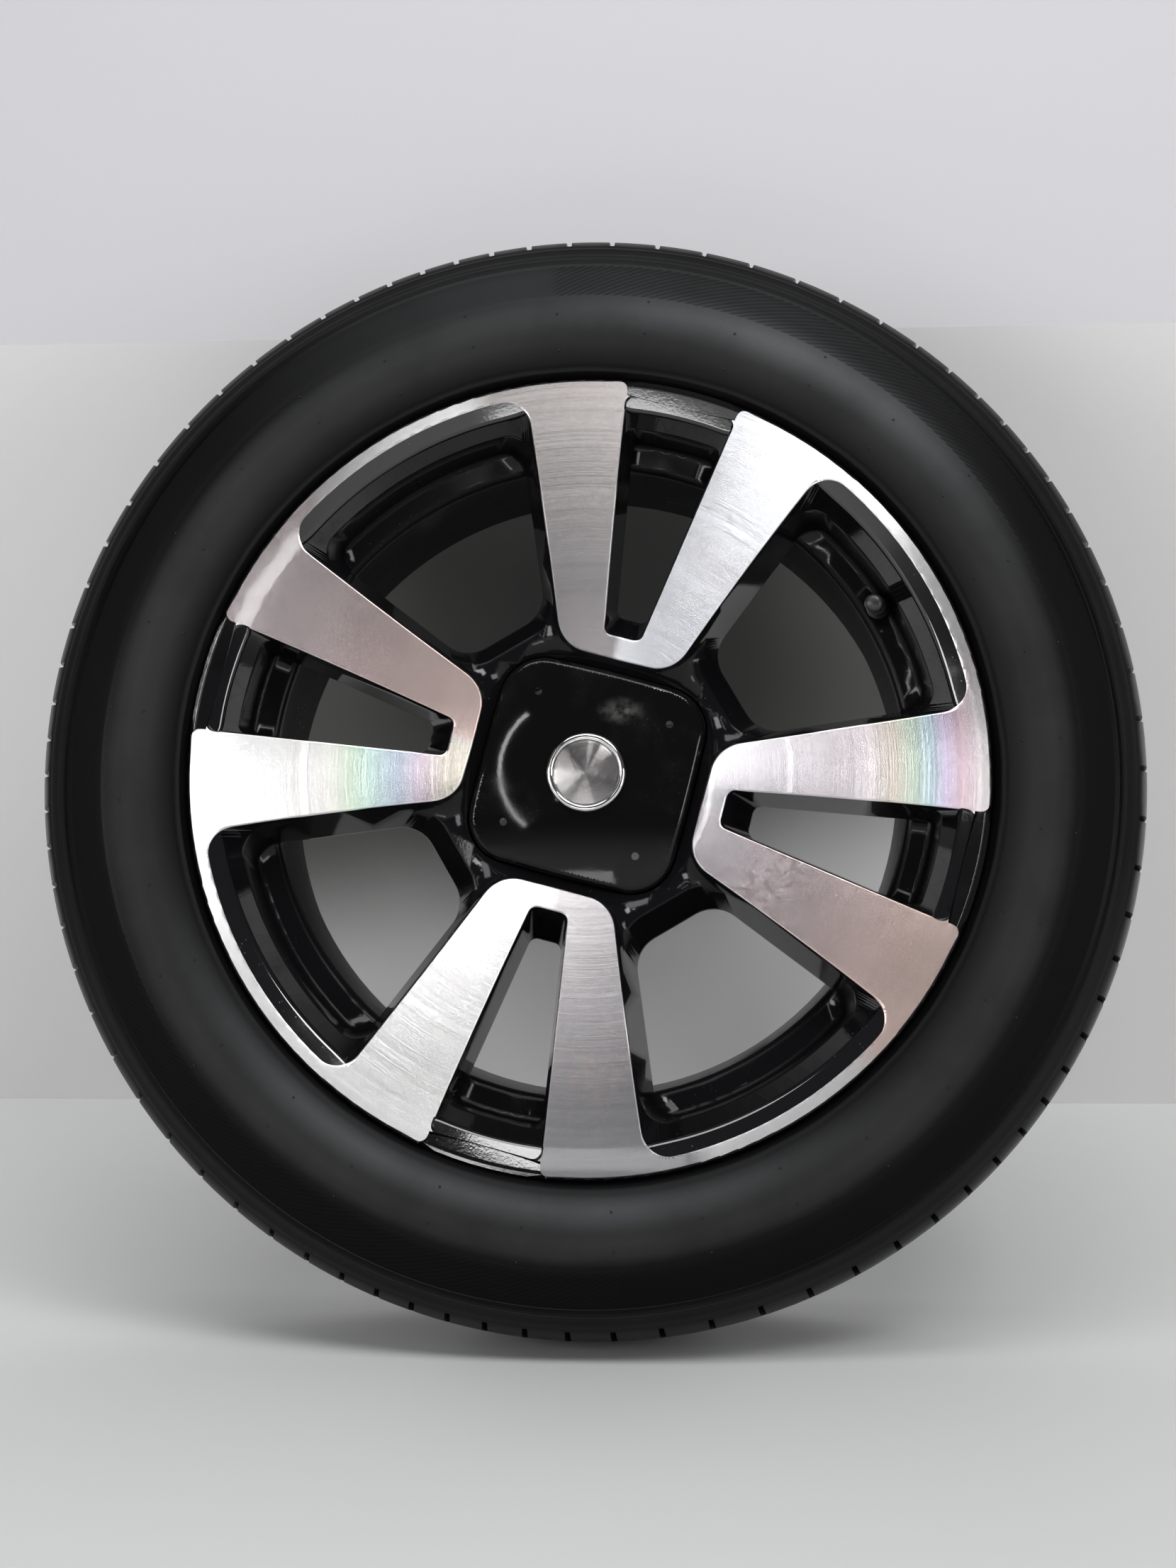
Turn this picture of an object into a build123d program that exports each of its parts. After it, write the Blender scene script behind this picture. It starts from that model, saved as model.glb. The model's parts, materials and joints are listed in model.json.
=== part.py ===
from build123d import *
import os
from math import cos, radians, sin, sqrt, tan

os.makedirs("parts", exist_ok=True)

# A car's road wheel: a radial tyre on a cast alloy wheel with four twin-spoke groups, a domed
# square centre cap and a snap-in tyre valve. Lengths are millimetres and angles are degrees.
# The origin is the wheel's centre. +Y runs inboard along the spin axis, +Z is up, and the
# face that shows on the car looks towards -Y. Profiles are drawn as (radius, axial) in XY.

# Rim, a 6.5 by 16 inch drop-centre
seat_radius = 202.8
rim_width = 165.1
flange_height = 19.2
flange_curl = 9.5
flange_edge = 2.0
barrel_wall = 4.8
well_depth = 16.0
seat_length = 26.5
well_length = 50.0
inboard_slope_length = 45.0
lip_width = 7.4
lip_depth = 9.0
barrel_round = 5.0

# Spoke disc
groups = 4
clock_angle = -14.8
face_flat_width = 17.0
dish_depth = 17.5
spoke_half_angle = 23.7
slot_half_angle = 8.4
wall_draft = 11.3
window_corner = 14.0
window_inner_corner = 20.0
window_inner_reach = 73.0
window_inner_draft = 25.6
slot_inner_reach = 72.0
slot_inner_draft = 25.0
slot_lip = 9.0
slot_corner = 5.0
slot_step = 2.0
hollow_depth = 27.0
hollow_wall = 7.0
hollow_inner = 98.0
hollow_round = 4.0
tip_round = 4.2
machined_bevel = 0.8
skin = 0.4
cut_margin = 1.0

# Hub
hub_recess_half = 66.5
recess_corner = 20.0
web_depth = 24.0
pocket_depth = 8.0
hub_offset = 26.0
hub_pad_radius = 75.0
hub_pad_run = 14.0
bore_radius = 32.55
cap_bore_radius = 36.5
cap_bore_depth = 14.0
bolt_circle = 108.0
bolt_hole_radius = 7.25
bolt_seat_radius = 14.0
bolt_seat_depth = 16.0

# Centre cap
cap_half = 60.0
cap_corner = 25.0
cap_bulge = 1.5
cap_gap = 1.0
cap_dome_radius = 350.0
cap_height = 18.0
cap_edge_round = 5.0
cap_wall = 2.5
cap_seat_gap = 0.2
tool_hole_radius = 2.1
leg_gap = 0.3
leg_wall = 2.0
leg_length = 11.0
leg_split = 8.0
clip_wire_radius = 0.9
clip_gap = 0.1
badge_radius = 22.0
badge_height = 3.2
badge_depth = 1.5
badge_gap = 0.1

# Tyre, 195/60 R 16
section_height = 117.2
sidewall_bulge = 17.95
widest_rise = 40.0
tread_drop = 10.5
shoulder_drop = 18.0
shoulder_tuck = 12.0
shoulder_run = 13.5
rib_rise = 5.5
rib_size = 1.2
shoulder_bulge = 0.9
tread_thickness = 14.5
liner_tuck = 15.0
sidewall_thickness = 6.5
bead_width = 18.5
bead_fit = 0.2
hug_angle = 50.0
groove_depth = 7.5
groove_places = (-46.0, -17.0, 15.0, 44.0)
groove_widths = (8.0, 10.0, 10.0, 7.0)
notch_count = 80
pitch_swing = 1.8
pitch_waves = 5
notch_width = 3.2
notch_depth = 6.5
notch_reach = 18.0

# Tyre valve
valve_tilt = 14.0
valve_seat_drop = 5.0
valve_hole_radius = 5.75
valve_neck_gap = 0.1
valve_boss_radius = 7.6
valve_boss_height = 0.4
valve_spot_depth = 0.3
valve_spot_gap = 0.5
valve_head_radius = 7.2
valve_head_thickness = 4.0
valve_foot_radius = 6.7
valve_top_radius = 5.6
valve_foot_rim = 2.0
rubber_bevel = 1.0
valve_body_length = 19.0
stem_radius = 3.85
stem_bevel = 0.6
stem_bore_radius = 2.65
stem_end = 30.0
stem_tail = 7.0
stem_throat_radius = 1.9
throat_end = 12.0
bond_gap = 0.02
core_gap = 0.06
core_top_gap = 1.6
plug_length = 6.0
core_length = 14.5
core_seal_length = 3.0
core_body_radius = 2.1
spring_room_radius = 1.65
core_floor = 1.0
pin_radius = 0.8
pin_gap = 0.08
pin_tip_gap = 0.5
pin_disc_radius = 1.6
pin_disc_thickness = 0.9
pin_collar_radius = 1.45
pin_collar_thickness = 0.8
spring_wire = 0.16
spring_gap = 0.12
spring_seat_gap = 0.05
spring_turns = 7
valve_cap_radius = 5.0
valve_cap_gap = 0.06
valve_cap_skirt = 9.4
valve_cap_top = 1.6
valve_cap_bevel = 1.4
valve_cap_flutes = 12
flute_radius = 0.55
cap_seal_thickness = 0.9
cap_seal_gap = 0.05
cap_seal_side_gap = 0.3
cap_seal_hole_radius = 1.6

# Sizes worked out from those above
flange_radius = seat_radius + flange_height
flange_inner = rim_width / 2
face = flange_inner + flange_curl + flange_edge
seat_inside = seat_radius - barrel_wall
well_radius = seat_radius - well_depth
well_inside = well_radius - barrel_wall
lip_inside = flange_radius - lip_width
face_flat_radius = flange_radius - face_flat_width
slot_outer_radius = flange_radius - slot_lip
draft = tan(radians(wall_draft))
slot_draft = draft / 2
group_angle = 90 + clock_angle
window_half_angle = 180 / groups - spoke_half_angle
spoke_middle = (spoke_half_angle + slot_half_angle) / 2
web_axial = -face + web_depth
pocket_floor = web_axial + pocket_depth
cap_bore_floor = pocket_floor + cap_bore_depth
wall_top = -flange_inner + seat_length
wall_foot = wall_top + (seat_inside - well_inside) * tan(radians(valve_tilt))
well_end = wall_foot + well_length
slope_end = well_end + inboard_slope_length
wall_shift = barrel_wall / cos(radians(valve_tilt)) - barrel_wall * tan(radians(valve_tilt))
cut_depth = face - hub_offset + cut_margin
valve_seat_radius = seat_inside - valve_seat_drop
tyre_radius = seat_radius + section_height
widest_radius = flange_radius + widest_rise
rib_radius = flange_radius + rib_rise
widest = flange_inner + sidewall_bulge
shoulder = widest - shoulder_tuck
tread_edge = shoulder - shoulder_run
liner_edge = tread_edge - liner_tuck

# The valve stands square on the well's front wall, in the middle of the upper right window
valve_angle = radians(group_angle - 180 / groups)
valve_across = Vector(-sin(valve_angle), 0, cos(valve_angle))
valve_out = Vector(
    -sin(radians(valve_tilt)) * cos(valve_angle),
    -cos(radians(valve_tilt)),
    -sin(radians(valve_tilt)) * sin(valve_angle),
)
valve_foot = Vector(
    valve_seat_radius * cos(valve_angle),
    wall_top + (seat_inside - valve_seat_radius) * tan(radians(valve_tilt)),
    valve_seat_radius * sin(valve_angle),
)
seat = -valve_spot_depth
head_top = -barrel_wall - valve_boss_height
valve_axis = Axis(valve_foot, valve_out)
valve_profile = Plane(valve_foot, x_dir=valve_across, z_dir=valve_across.cross(valve_out))
outboard = (0, -1, 0)


def axial_plane(axial, angle=0.0):
    """Plane across the spin axis that faces outboard, its own x turned by the angle."""
    x_dir = (cos(radians(angle)), 0, sin(radians(angle)))
    return Plane(origin=(0, axial, 0), x_dir=x_dir, z_dir=outboard)


def wedge_outline(plane, half_angle, inset, inner, outer, inner_round, outer_round):
    """Opening between two drawn-in sides, with an arc outside, a chord inside and round corners."""
    slope = tan(radians(half_angle))
    shift = inset / cos(radians(half_angle))
    inner_side = slope * inner - shift
    reach = outer**2 * (1 + slope**2) - shift**2
    outer_run = (slope * shift + sqrt(reach)) / (1 + slope**2)
    outer_side = slope * outer_run - shift
    with BuildSketch(plane) as outline:
        with BuildLine():
            Line((inner, -inner_side), (outer_run, -outer_side))
            ThreePointArc((outer_run, -outer_side), (outer, 0), (outer_run, outer_side))
            Line((outer_run, outer_side), (inner, inner_side))
            Line((inner, inner_side), (inner, -inner_side))
        make_face()
        fillet(outline.vertices().group_by(Axis.X)[0], inner_round)
        fillet(outline.vertices().group_by(Axis.X)[-1], outer_round)
    return outline.sketch


def lip_reach(depth, mouth_radius):
    """Outer radius of an opening at a depth below the face: down the lip's slope, then level."""
    foot_radius = seat_inside - skin
    run = min(depth, lip_depth) / lip_depth
    return mouth_radius + (foot_radius - mouth_radius) * run


def hub_recess_outline(depth):
    """Square about the cap joined to the four wedges between the spoke groups."""
    face_drop = dish_depth - depth
    half = hub_recess_half + face_drop * draft
    slope = tan(radians(window_half_angle))
    shift = depth * draft / cos(radians(window_half_angle))
    far = window_inner_reach + 2 * window_inner_corner
    far_side = slope * far - shift
    with BuildSketch(axial_plane(-face + depth, group_angle)) as outline:
        Rectangle(2 * half, 2 * half)
        with PolarLocations(0, groups, start_angle=180 / groups):
            Polygon((shift / slope, 0), (far, far_side), (far, -far_side), align=None)
        fillet(outline.vertices().sort_by_distance((0, 0, 0))[: 2 * groups], recess_corner)
    return outline.sketch


# Alloy wheel: disc between the turned face and the spokes' backs
with BuildPart() as disc:
    hub_front = -face + dish_depth
    with BuildSketch():
        with BuildLine():
            Line((lip_inside + skin, -face), (face_flat_radius, -face))
            TangentArc((face_flat_radius, -face), (hub_recess_half, hub_front), tangent=(-1, 0))
            Polyline(
                (hub_recess_half, hub_front),
                (0, hub_front),
                (0, -hub_offset),
                (hub_pad_radius, -hub_offset),
                (hub_pad_radius + hub_pad_run, -hub_offset - hub_pad_run),
                (well_inside + skin, wall_foot + wall_shift / 2),
                (seat_inside + skin, wall_top + wall_shift / 2),
                (seat_inside + skin, -face + lip_depth),
                (lip_inside + skin, -face),
            )
        make_face()
    revolve(axis=Axis.Y)


def window_outline(depth):
    """Section of a window between two spoke groups, at a depth below the face."""
    return wedge_outline(
        axial_plane(-face + depth, group_angle + 180 / groups),
        window_half_angle,
        depth * draft,
        window_inner_reach + depth * tan(radians(window_inner_draft)),
        lip_reach(depth, lip_inside),
        window_inner_corner,
        window_corner,
    )


def slot_outline(depth):
    """Section of the slot between the two spokes of a group, at a depth below the face."""
    return wedge_outline(
        axial_plane(-face + depth, group_angle),
        slot_half_angle,
        depth * slot_draft,
        slot_inner_reach + depth * tan(radians(slot_inner_draft)),
        lip_reach(depth, slot_outer_radius),
        slot_corner,
        slot_corner,
    )


def hollow_outline(depth):
    """Section of the hollow in the back of one spoke, narrower towards the face."""
    rear_growth = (cut_depth - depth) * draft
    return wedge_outline(
        axial_plane(-face + depth, group_angle + spoke_middle),
        spoke_half_angle - spoke_middle,
        hollow_wall + rear_growth - cut_depth * (draft + slot_draft) / 2,
        hollow_inner + rear_growth,
        well_inside - hollow_wall - rear_growth,
        hollow_round,
        hollow_round,
    )


with BuildPart() as window:
    loft([window_outline(depth) for depth in (-cut_margin, lip_depth, cut_depth)], ruled=True)

with BuildPart() as slot:
    loft([slot_outline(depth) for depth in (-cut_margin, lip_depth, cut_depth)], ruled=True)

with BuildPart() as spoke_hollow:
    loft([hollow_outline(depth) for depth in (hollow_depth, cut_depth)], ruled=True)

# What lies lower than the turned faces round the cap
with BuildPart() as hub_recess:
    loft([hub_recess_outline(depth) for depth in (-cut_margin, web_depth)], ruled=True)

# Barrel: flanges, bead seats and drop centre
with BuildPart() as barrel:
    curl_radius = flange_radius - flange_curl
    curl_axial = flange_inner + flange_curl
    edge_radius = flange_radius - flange_edge
    with BuildSketch():
        with BuildLine():
            FilletPolyline(
                (lip_inside + skin, -face),
                (seat_inside, -face + lip_depth),
                (seat_inside, wall_top),
                (well_inside, wall_foot),
                (well_inside, well_end),
                (seat_inside, slope_end),
                (seat_inside, face - lip_depth),
                (lip_inside + skin, face),
                radius=barrel_round,
            )
            Line((lip_inside + skin, -face), (edge_radius, -face))
            CenterArc((edge_radius, -curl_axial), flange_edge, -90, 90)
            CenterArc((curl_radius, -curl_axial), flange_curl, 0, 90)
            Polyline(
                (curl_radius, -flange_inner),
                (seat_radius, -flange_inner),
                (seat_radius, wall_top + wall_shift),
                (well_radius, wall_foot + wall_shift),
                (well_radius, well_end),
                (seat_radius, slope_end),
                (seat_radius, flange_inner),
                (curl_radius, flange_inner),
            )
            CenterArc((curl_radius, curl_axial), flange_curl, -90, 90)
            CenterArc((edge_radius, curl_axial), flange_edge, 0, 90)
            Line((edge_radius, face), (lip_inside + skin, face))
        make_face()
    revolve(axis=Axis.Y)


def cap_outline(plane, half, corner):
    """Square with gently bulged sides and round corners."""
    flat = half - cap_bulge
    with BuildSketch(plane) as outline:
        with BuildLine():
            ThreePointArc((flat, -flat), (half, 0), (flat, flat))
            ThreePointArc((flat, flat), (0, half), (-flat, flat))
            ThreePointArc((-flat, flat), (-half, 0), (-flat, -flat))
            ThreePointArc((-flat, -flat), (0, -half), (flat, -flat))
        make_face()
        fillet(outline.vertices(), corner)
    return outline.sketch


with BuildPart() as alloy_wheel:
    add(disc.part)
    add(hub_recess.part, mode=Mode.SUBTRACT)
    for turn in range(groups):
        add(window.part, rotation=(0, 360 / groups * turn, 0), mode=Mode.SUBTRACT)
        add(slot.part, rotation=(0, 360 / groups * turn, 0), mode=Mode.SUBTRACT)
        for angle in (0, 2 * spoke_middle):
            add(spoke_hollow.part, rotation=(0, 360 / groups * turn + angle, 0), mode=Mode.SUBTRACT)
    add(barrel.part)
    # Lowered lip between the two spoke tips of each group
    lip_cos = cos(radians(slot_half_angle))
    lip_sin = sin(radians(slot_half_angle))
    step_near = slot_outer_radius * lip_cos
    step_side = slot_outer_radius * lip_sin
    flare = (edge_radius - tip_round) * lip_cos
    flare_side = (edge_radius - tip_round) * lip_sin
    tip = edge_radius * lip_cos
    tip_side = edge_radius * lip_sin + tip_round
    beyond = flange_radius + flange_edge
    with BuildSketch(axial_plane(-face + slot_step, group_angle)) as step:
        with BuildLine():
            Polyline((step_near, step_side), (step_near, -step_side), (flare, -flare_side))
            TangentArc((flare, -flare_side), (tip, -tip_side), tangent=(lip_cos, -lip_sin))
            Polyline((tip, -tip_side), (beyond, -tip_side), (beyond, tip_side), (tip, tip_side))
            TangentArc((flare, flare_side), (tip, tip_side), tangent=(lip_cos, lip_sin))
            Line((flare, flare_side), (step_near, step_side))
        make_face()
    lip_step = extrude(amount=slot_step + cut_margin, mode=Mode.PRIVATE)
    for turn in range(groups):
        add(lip_step, rotation=(0, 360 / groups * turn, 0), mode=Mode.SUBTRACT)
    # Bright bevel along the turned faces' edges
    turned = alloy_wheel.faces().filter_by(GeomType.REVOLUTION).sort_by(SortBy.AREA)[-groups:]
    turned += alloy_wheel.faces().group_by(Axis.Y)[0]
    chamfer(turned.edges().filter_by(GeomType.BSPLINE), machined_bevel)
    # Pocket for the cap, its bore, the hub bore and the bolt holes
    pocket = cap_outline(axial_plane(pocket_floor, group_angle), cap_half + cap_gap, cap_corner + cap_gap)
    extrude(pocket, amount=dish_depth, dir=outboard, mode=Mode.SUBTRACT)
    with Locations(axial_plane(pocket_floor, group_angle)):
        CounterBoreHole(bore_radius, cap_bore_radius, cap_bore_depth)
        with PolarLocations(bolt_circle / 2, groups, start_angle=180 / groups):
            CounterBoreHole(bolt_hole_radius, bolt_seat_radius, bolt_seat_depth)
    # Seat on the air side, spot face and hole for the valve
    with BuildSketch(valve_profile):
        with Locations((0, head_top)):
            Rectangle(valve_boss_radius, barrel_wall, align=(Align.MIN, Align.MIN))
    revolve(axis=valve_axis)
    with BuildSketch(valve_profile):
        Rectangle(valve_hole_radius, 4 * barrel_wall, align=(Align.MIN, Align.CENTER))
        with Locations((0, seat)):
            Rectangle(
                valve_foot_radius + valve_spot_gap,
                valve_body_length,
                align=(Align.MIN, Align.MIN),
            )
    revolve(axis=valve_axis, mode=Mode.SUBTRACT)

# Centre cap: domed shell with clip legs and tool holes
cap_base = pocket_floor - cap_seat_gap
cap_crown = cap_base - cap_height
leg_radius = cap_bore_radius - leg_gap
leg_end = pocket_floor + leg_length


def dome_section(crown):
    """Section of everything under a dome, out to past the cap's corners."""
    rim = cap_half * sqrt(2)
    sag = cap_dome_radius - sqrt(cap_dome_radius**2 - rim**2)
    with BuildSketch() as outline:
        with BuildLine():
            TangentArc((0, crown), (rim, crown + sag), tangent=(1, 0))
            Polyline((rim, crown + sag), (rim, cap_base + cap_wall), (0, cap_base + cap_wall), (0, crown))
        make_face()
    return outline.sketch


with BuildPart() as cap_hollow:
    hollow = cap_outline(axial_plane(cap_base, group_angle), cap_half - cap_wall, cap_corner - cap_wall)
    extrude(hollow, amount=cap_height, dir=outboard)
    revolve(dome_section(cap_crown + cap_wall), axis=Axis.Y, mode=Mode.INTERSECT)

with BuildPart() as centre_cap:
    extrude(
        cap_outline(axial_plane(cap_base, group_angle), cap_half, cap_corner),
        amount=cap_height,
        dir=outboard,
    )
    revolve(dome_section(cap_crown), axis=Axis.Y, mode=Mode.INTERSECT)
    fillet(centre_cap.faces().sort_by(Axis.Y)[0].edges(), cap_edge_round)
    add(cap_hollow.part, mode=Mode.SUBTRACT)
    leg_sag = cap_dome_radius - sqrt(cap_dome_radius**2 - leg_radius**2)
    leg_top = cap_crown + leg_sag + cap_wall / 2
    with BuildSketch(axial_plane(leg_end, group_angle)):
        Circle(leg_radius)
        Circle(leg_radius - leg_wall, mode=Mode.SUBTRACT)
    extrude(amount=leg_end - leg_top)
    with BuildSketch(axial_plane(leg_end, group_angle)):
        with PolarLocations(leg_radius, groups):
            Rectangle(4 * leg_wall, leg_split)
    extrude(amount=leg_length, mode=Mode.SUBTRACT)
    with Locations(axial_plane(cap_crown, group_angle)):
        Hole(badge_radius + badge_gap, depth=badge_depth)
        with PolarLocations(bolt_circle / 2, groups, start_angle=180 / groups):
            Hole(tool_hole_radius, depth=cap_height)

# Plain bright disc on the cap
badge_floor = cap_crown + badge_depth
with BuildPart() as cap_badge:
    badge_top = cap_crown - badge_height
    badge_rim = cap_crown - badge_height / 2
    with BuildSketch():
        with BuildLine():
            Polyline((0, badge_top), (0, badge_floor), (badge_radius, badge_floor), (badge_radius, badge_rim))
            TangentArc((0, badge_top), (badge_radius, badge_rim), tangent=(1, 0))
        make_face()
    revolve(axis=Axis.Y)

# Wire ring inside the clip legs
with BuildPart() as cap_clip_ring:
    with BuildSketch():
        with Locations((leg_radius - leg_wall - clip_gap - clip_wire_radius, (pocket_floor + leg_end) / 2)):
            Circle(clip_wire_radius)
    revolve(axis=Axis.Y)

# Tyre: section turned about the axis, then the shoulder notches
bead_radius = seat_radius + bead_fit
bead_face = flange_inner - bead_fit
toe = bead_face - bead_width
with BuildPart() as tyre:
    hug_radius = flange_curl + bead_fit
    leave_radius = curl_radius + hug_radius * sin(radians(hug_angle))
    leave_axial = curl_axial - hug_radius * cos(radians(hug_angle))
    rib_axial = leave_axial + (rib_radius - rib_size - leave_radius) * tan(radians(hug_angle))
    shoulder_radius = tyre_radius - shoulder_drop
    edge_of_tread = tyre_radius - tread_drop
    inside_crown = tyre_radius - tread_thickness
    inside_widest = widest - sidewall_thickness
    liner_radius = inside_crown - tread_drop / 2
    with BuildSketch():
        with BuildLine():
            Line((inside_crown, 0), (liner_radius, liner_edge))
            TangentArc((widest_radius, inside_widest), (liner_radius, liner_edge), tangent=(1, 0))
            Polyline(
                (widest_radius, inside_widest),
                (rib_radius, toe + sidewall_thickness),
                (bead_radius, toe),
                (bead_radius, bead_face),
                (curl_radius, bead_face),
            )
            CenterArc((curl_radius, curl_axial), hug_radius, -90, hug_angle)
            Polyline(
                (leave_radius, leave_axial),
                (rib_radius - rib_size, rib_axial),
                (rib_radius + rib_size, rib_axial),
            )
            TangentArc((widest_radius, widest), (rib_radius + rib_size, rib_axial), tangent=(-1, 0))
            TangentArc((widest_radius, widest), (shoulder_radius, shoulder), tangent=(1, 0))
            ThreePointArc(
                (shoulder_radius, shoulder),
                (
                    (shoulder_radius + edge_of_tread) / 2 + shoulder_bulge,
                    (shoulder + tread_edge) / 2 + shoulder_bulge,
                ),
                (edge_of_tread, tread_edge),
            )
            ThreePointArc(
                (edge_of_tread, tread_edge),
                (tyre_radius - tread_drop / 4, tread_edge / 2),
                (tyre_radius, 0),
            )
            Line((tyre_radius, 0), (inside_crown, 0))
        make_face()
        mirror(about=Plane.XZ)
        for place, width in zip(groove_places, groove_widths):
            crown_here = tyre_radius - tread_drop * (place / tread_edge) ** 2
            with Locations((crown_here - groove_depth, place)):
                Rectangle(2 * groove_depth, width, align=(Align.MIN, Align.CENTER), mode=Mode.SUBTRACT)
    revolve(axis=Axis.Y)
    notch_floor = edge_of_tread - notch_depth
    notch_height = tyre_radius - notch_floor
    notch_places = []
    for index in range(notch_count):
        turn = 360 * index / notch_count
        angle = turn + pitch_swing * sin(radians(pitch_waves * turn))
        middle = Vector(notch_floor + notch_height / 2, 0).rotate(Axis.Z, angle)
        notch_places.append(Location(middle, (0, 0, angle)))
    for side in (-1, 1):
        with BuildSketch(axial_plane(side * (tread_edge - notch_reach))):
            with Locations(notch_places):
                Rectangle(notch_height, notch_width)
        extrude(amount=-side * (widest - tread_edge + notch_reach), mode=Mode.SUBTRACT)

# Valve
with BuildPart() as valve_body:
    bonded = stem_radius + bond_gap
    neck = valve_hole_radius - valve_neck_gap
    with BuildSketch(valve_profile):
        Polygon(
            (bonded, head_top - valve_head_thickness),
            (valve_head_radius - rubber_bevel, head_top - valve_head_thickness),
            (valve_head_radius, head_top - valve_head_thickness + rubber_bevel),
            (valve_head_radius, head_top),
            (neck, head_top),
            (neck, seat),
            (valve_foot_radius, seat),
            (valve_foot_radius, seat + valve_foot_rim),
            (valve_top_radius, seat + valve_body_length - rubber_bevel),
            (valve_top_radius - rubber_bevel, seat + valve_body_length),
            (bonded, seat + valve_body_length),
            align=None,
        )
    revolve(axis=valve_axis)

with BuildPart() as valve_stem:
    with BuildSketch(valve_profile):
        Polygon(
            (stem_throat_radius, -stem_tail),
            (stem_radius, -stem_tail),
            (stem_radius, stem_end - stem_bevel),
            (stem_radius - stem_bevel, stem_end),
            (stem_bore_radius, stem_end),
            (stem_bore_radius, throat_end),
            (stem_throat_radius, throat_end),
            align=None,
        )
    revolve(axis=valve_axis)

core_top = stem_end - core_top_gap
core_foot = core_top - core_length
plug_radius = stem_bore_radius - core_gap
pin_hole = pin_radius + pin_gap
with BuildPart() as valve_core_housing:
    with BuildSketch(valve_profile):
        Polygon(
            (pin_hole, core_foot),
            (core_body_radius, core_foot),
            (core_body_radius, core_top - plug_length),
            (plug_radius, core_top - plug_length),
            (plug_radius, core_top),
            (pin_hole, core_top),
            (pin_hole, core_top - core_floor),
            (spring_room_radius, core_top - core_floor),
            (spring_room_radius, core_foot + core_floor),
            (pin_hole, core_foot + core_floor),
            align=None,
        )
    revolve(axis=valve_axis)

with BuildPart() as valve_core_seal:
    with BuildSketch(valve_profile):
        with Locations((core_body_radius + bond_gap, core_top - plug_length - core_seal_length)):
            Rectangle(
                stem_bore_radius - core_body_radius - 2 * bond_gap,
                core_seal_length,
                align=(Align.MIN, Align.CENTER),
            )
    revolve(axis=valve_axis)

pin_tip = stem_end - pin_tip_gap
collar_top = core_top - core_floor - pin_gap
disc_top = core_foot - bond_gap
with BuildPart() as valve_pin:
    with BuildSketch(valve_profile):
        Polygon(
            (0, disc_top - pin_disc_thickness),
            (pin_disc_radius, disc_top - pin_disc_thickness),
            (pin_disc_radius, disc_top),
            (pin_radius, disc_top),
            (pin_radius, collar_top - pin_collar_thickness),
            (pin_collar_radius, collar_top - pin_collar_thickness),
            (pin_collar_radius, collar_top),
            (pin_radius, collar_top),
            (pin_radius, pin_tip),
            (0, pin_tip),
            align=None,
        )
    revolve(axis=valve_axis)

spring_foot = core_foot + core_floor + spring_wire + spring_seat_gap
spring_top = collar_top - pin_collar_thickness - spring_wire - spring_seat_gap
spring_radius = spring_room_radius - spring_gap - spring_wire
with BuildPart() as valve_spring:
    with BuildLine() as coil:
        Helix(
            (spring_top - spring_foot) / spring_turns,
            spring_top - spring_foot,
            spring_radius,
            center=valve_foot + valve_out * spring_foot,
            direction=valve_out,
        )
    with BuildSketch(Plane(origin=coil.line @ 0, z_dir=coil.line % 0)):
        Circle(spring_wire)
    sweep()

cap_inner = stem_radius + valve_cap_gap
cap_ceiling = stem_end + 2 * cap_seal_gap + cap_seal_thickness
cap_end = cap_ceiling + valve_cap_top
with BuildPart() as valve_cap:
    with BuildSketch(valve_profile):
        Polygon(
            (cap_inner, stem_end - valve_cap_skirt),
            (valve_cap_radius, stem_end - valve_cap_skirt),
            (valve_cap_radius, cap_end - valve_cap_bevel),
            (valve_cap_radius - valve_cap_bevel, cap_end),
            (0, cap_end),
            (0, cap_ceiling),
            (cap_inner, cap_ceiling),
            align=None,
        )
    revolve(axis=valve_axis)
    skirt_foot = valve_foot + valve_out * (stem_end - valve_cap_skirt)
    with BuildSketch(Plane(skirt_foot, x_dir=valve_across, z_dir=valve_out)):
        with PolarLocations(valve_cap_radius + flute_radius / 3, valve_cap_flutes):
            Circle(flute_radius)
    extrude(amount=valve_cap_skirt, mode=Mode.SUBTRACT)

with BuildPart() as valve_cap_seal:
    with BuildSketch(valve_profile):
        with Locations((cap_seal_hole_radius, stem_end + cap_seal_gap)):
            Rectangle(
                cap_inner - cap_seal_side_gap - cap_seal_hole_radius,
                cap_seal_thickness,
                align=(Align.MIN, Align.MIN),
            )
    revolve(axis=valve_axis)

pieces = {
    "tyre": tyre,
    "alloy_wheel": alloy_wheel,
    "centre_cap": centre_cap,
    "cap_badge": cap_badge,
    "cap_clip_ring": cap_clip_ring,
    "valve_body": valve_body,
    "valve_stem": valve_stem,
    "valve_core_housing": valve_core_housing,
    "valve_core_seal": valve_core_seal,
    "valve_pin": valve_pin,
    "valve_spring": valve_spring,
    "valve_cap": valve_cap,
    "valve_cap_seal": valve_cap_seal,
}
for name, piece in pieces.items():
    piece.part.label = name
    export_step(piece.part, f"parts/{name}.step")
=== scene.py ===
import json
import logging
import math
from dataclasses import dataclass, field
from enum import Enum
from typing import Any, Callable, Iterable, Sequence

import bmesh
import bpy
import numpy as np
from mathutils import Matrix, Vector


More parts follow.
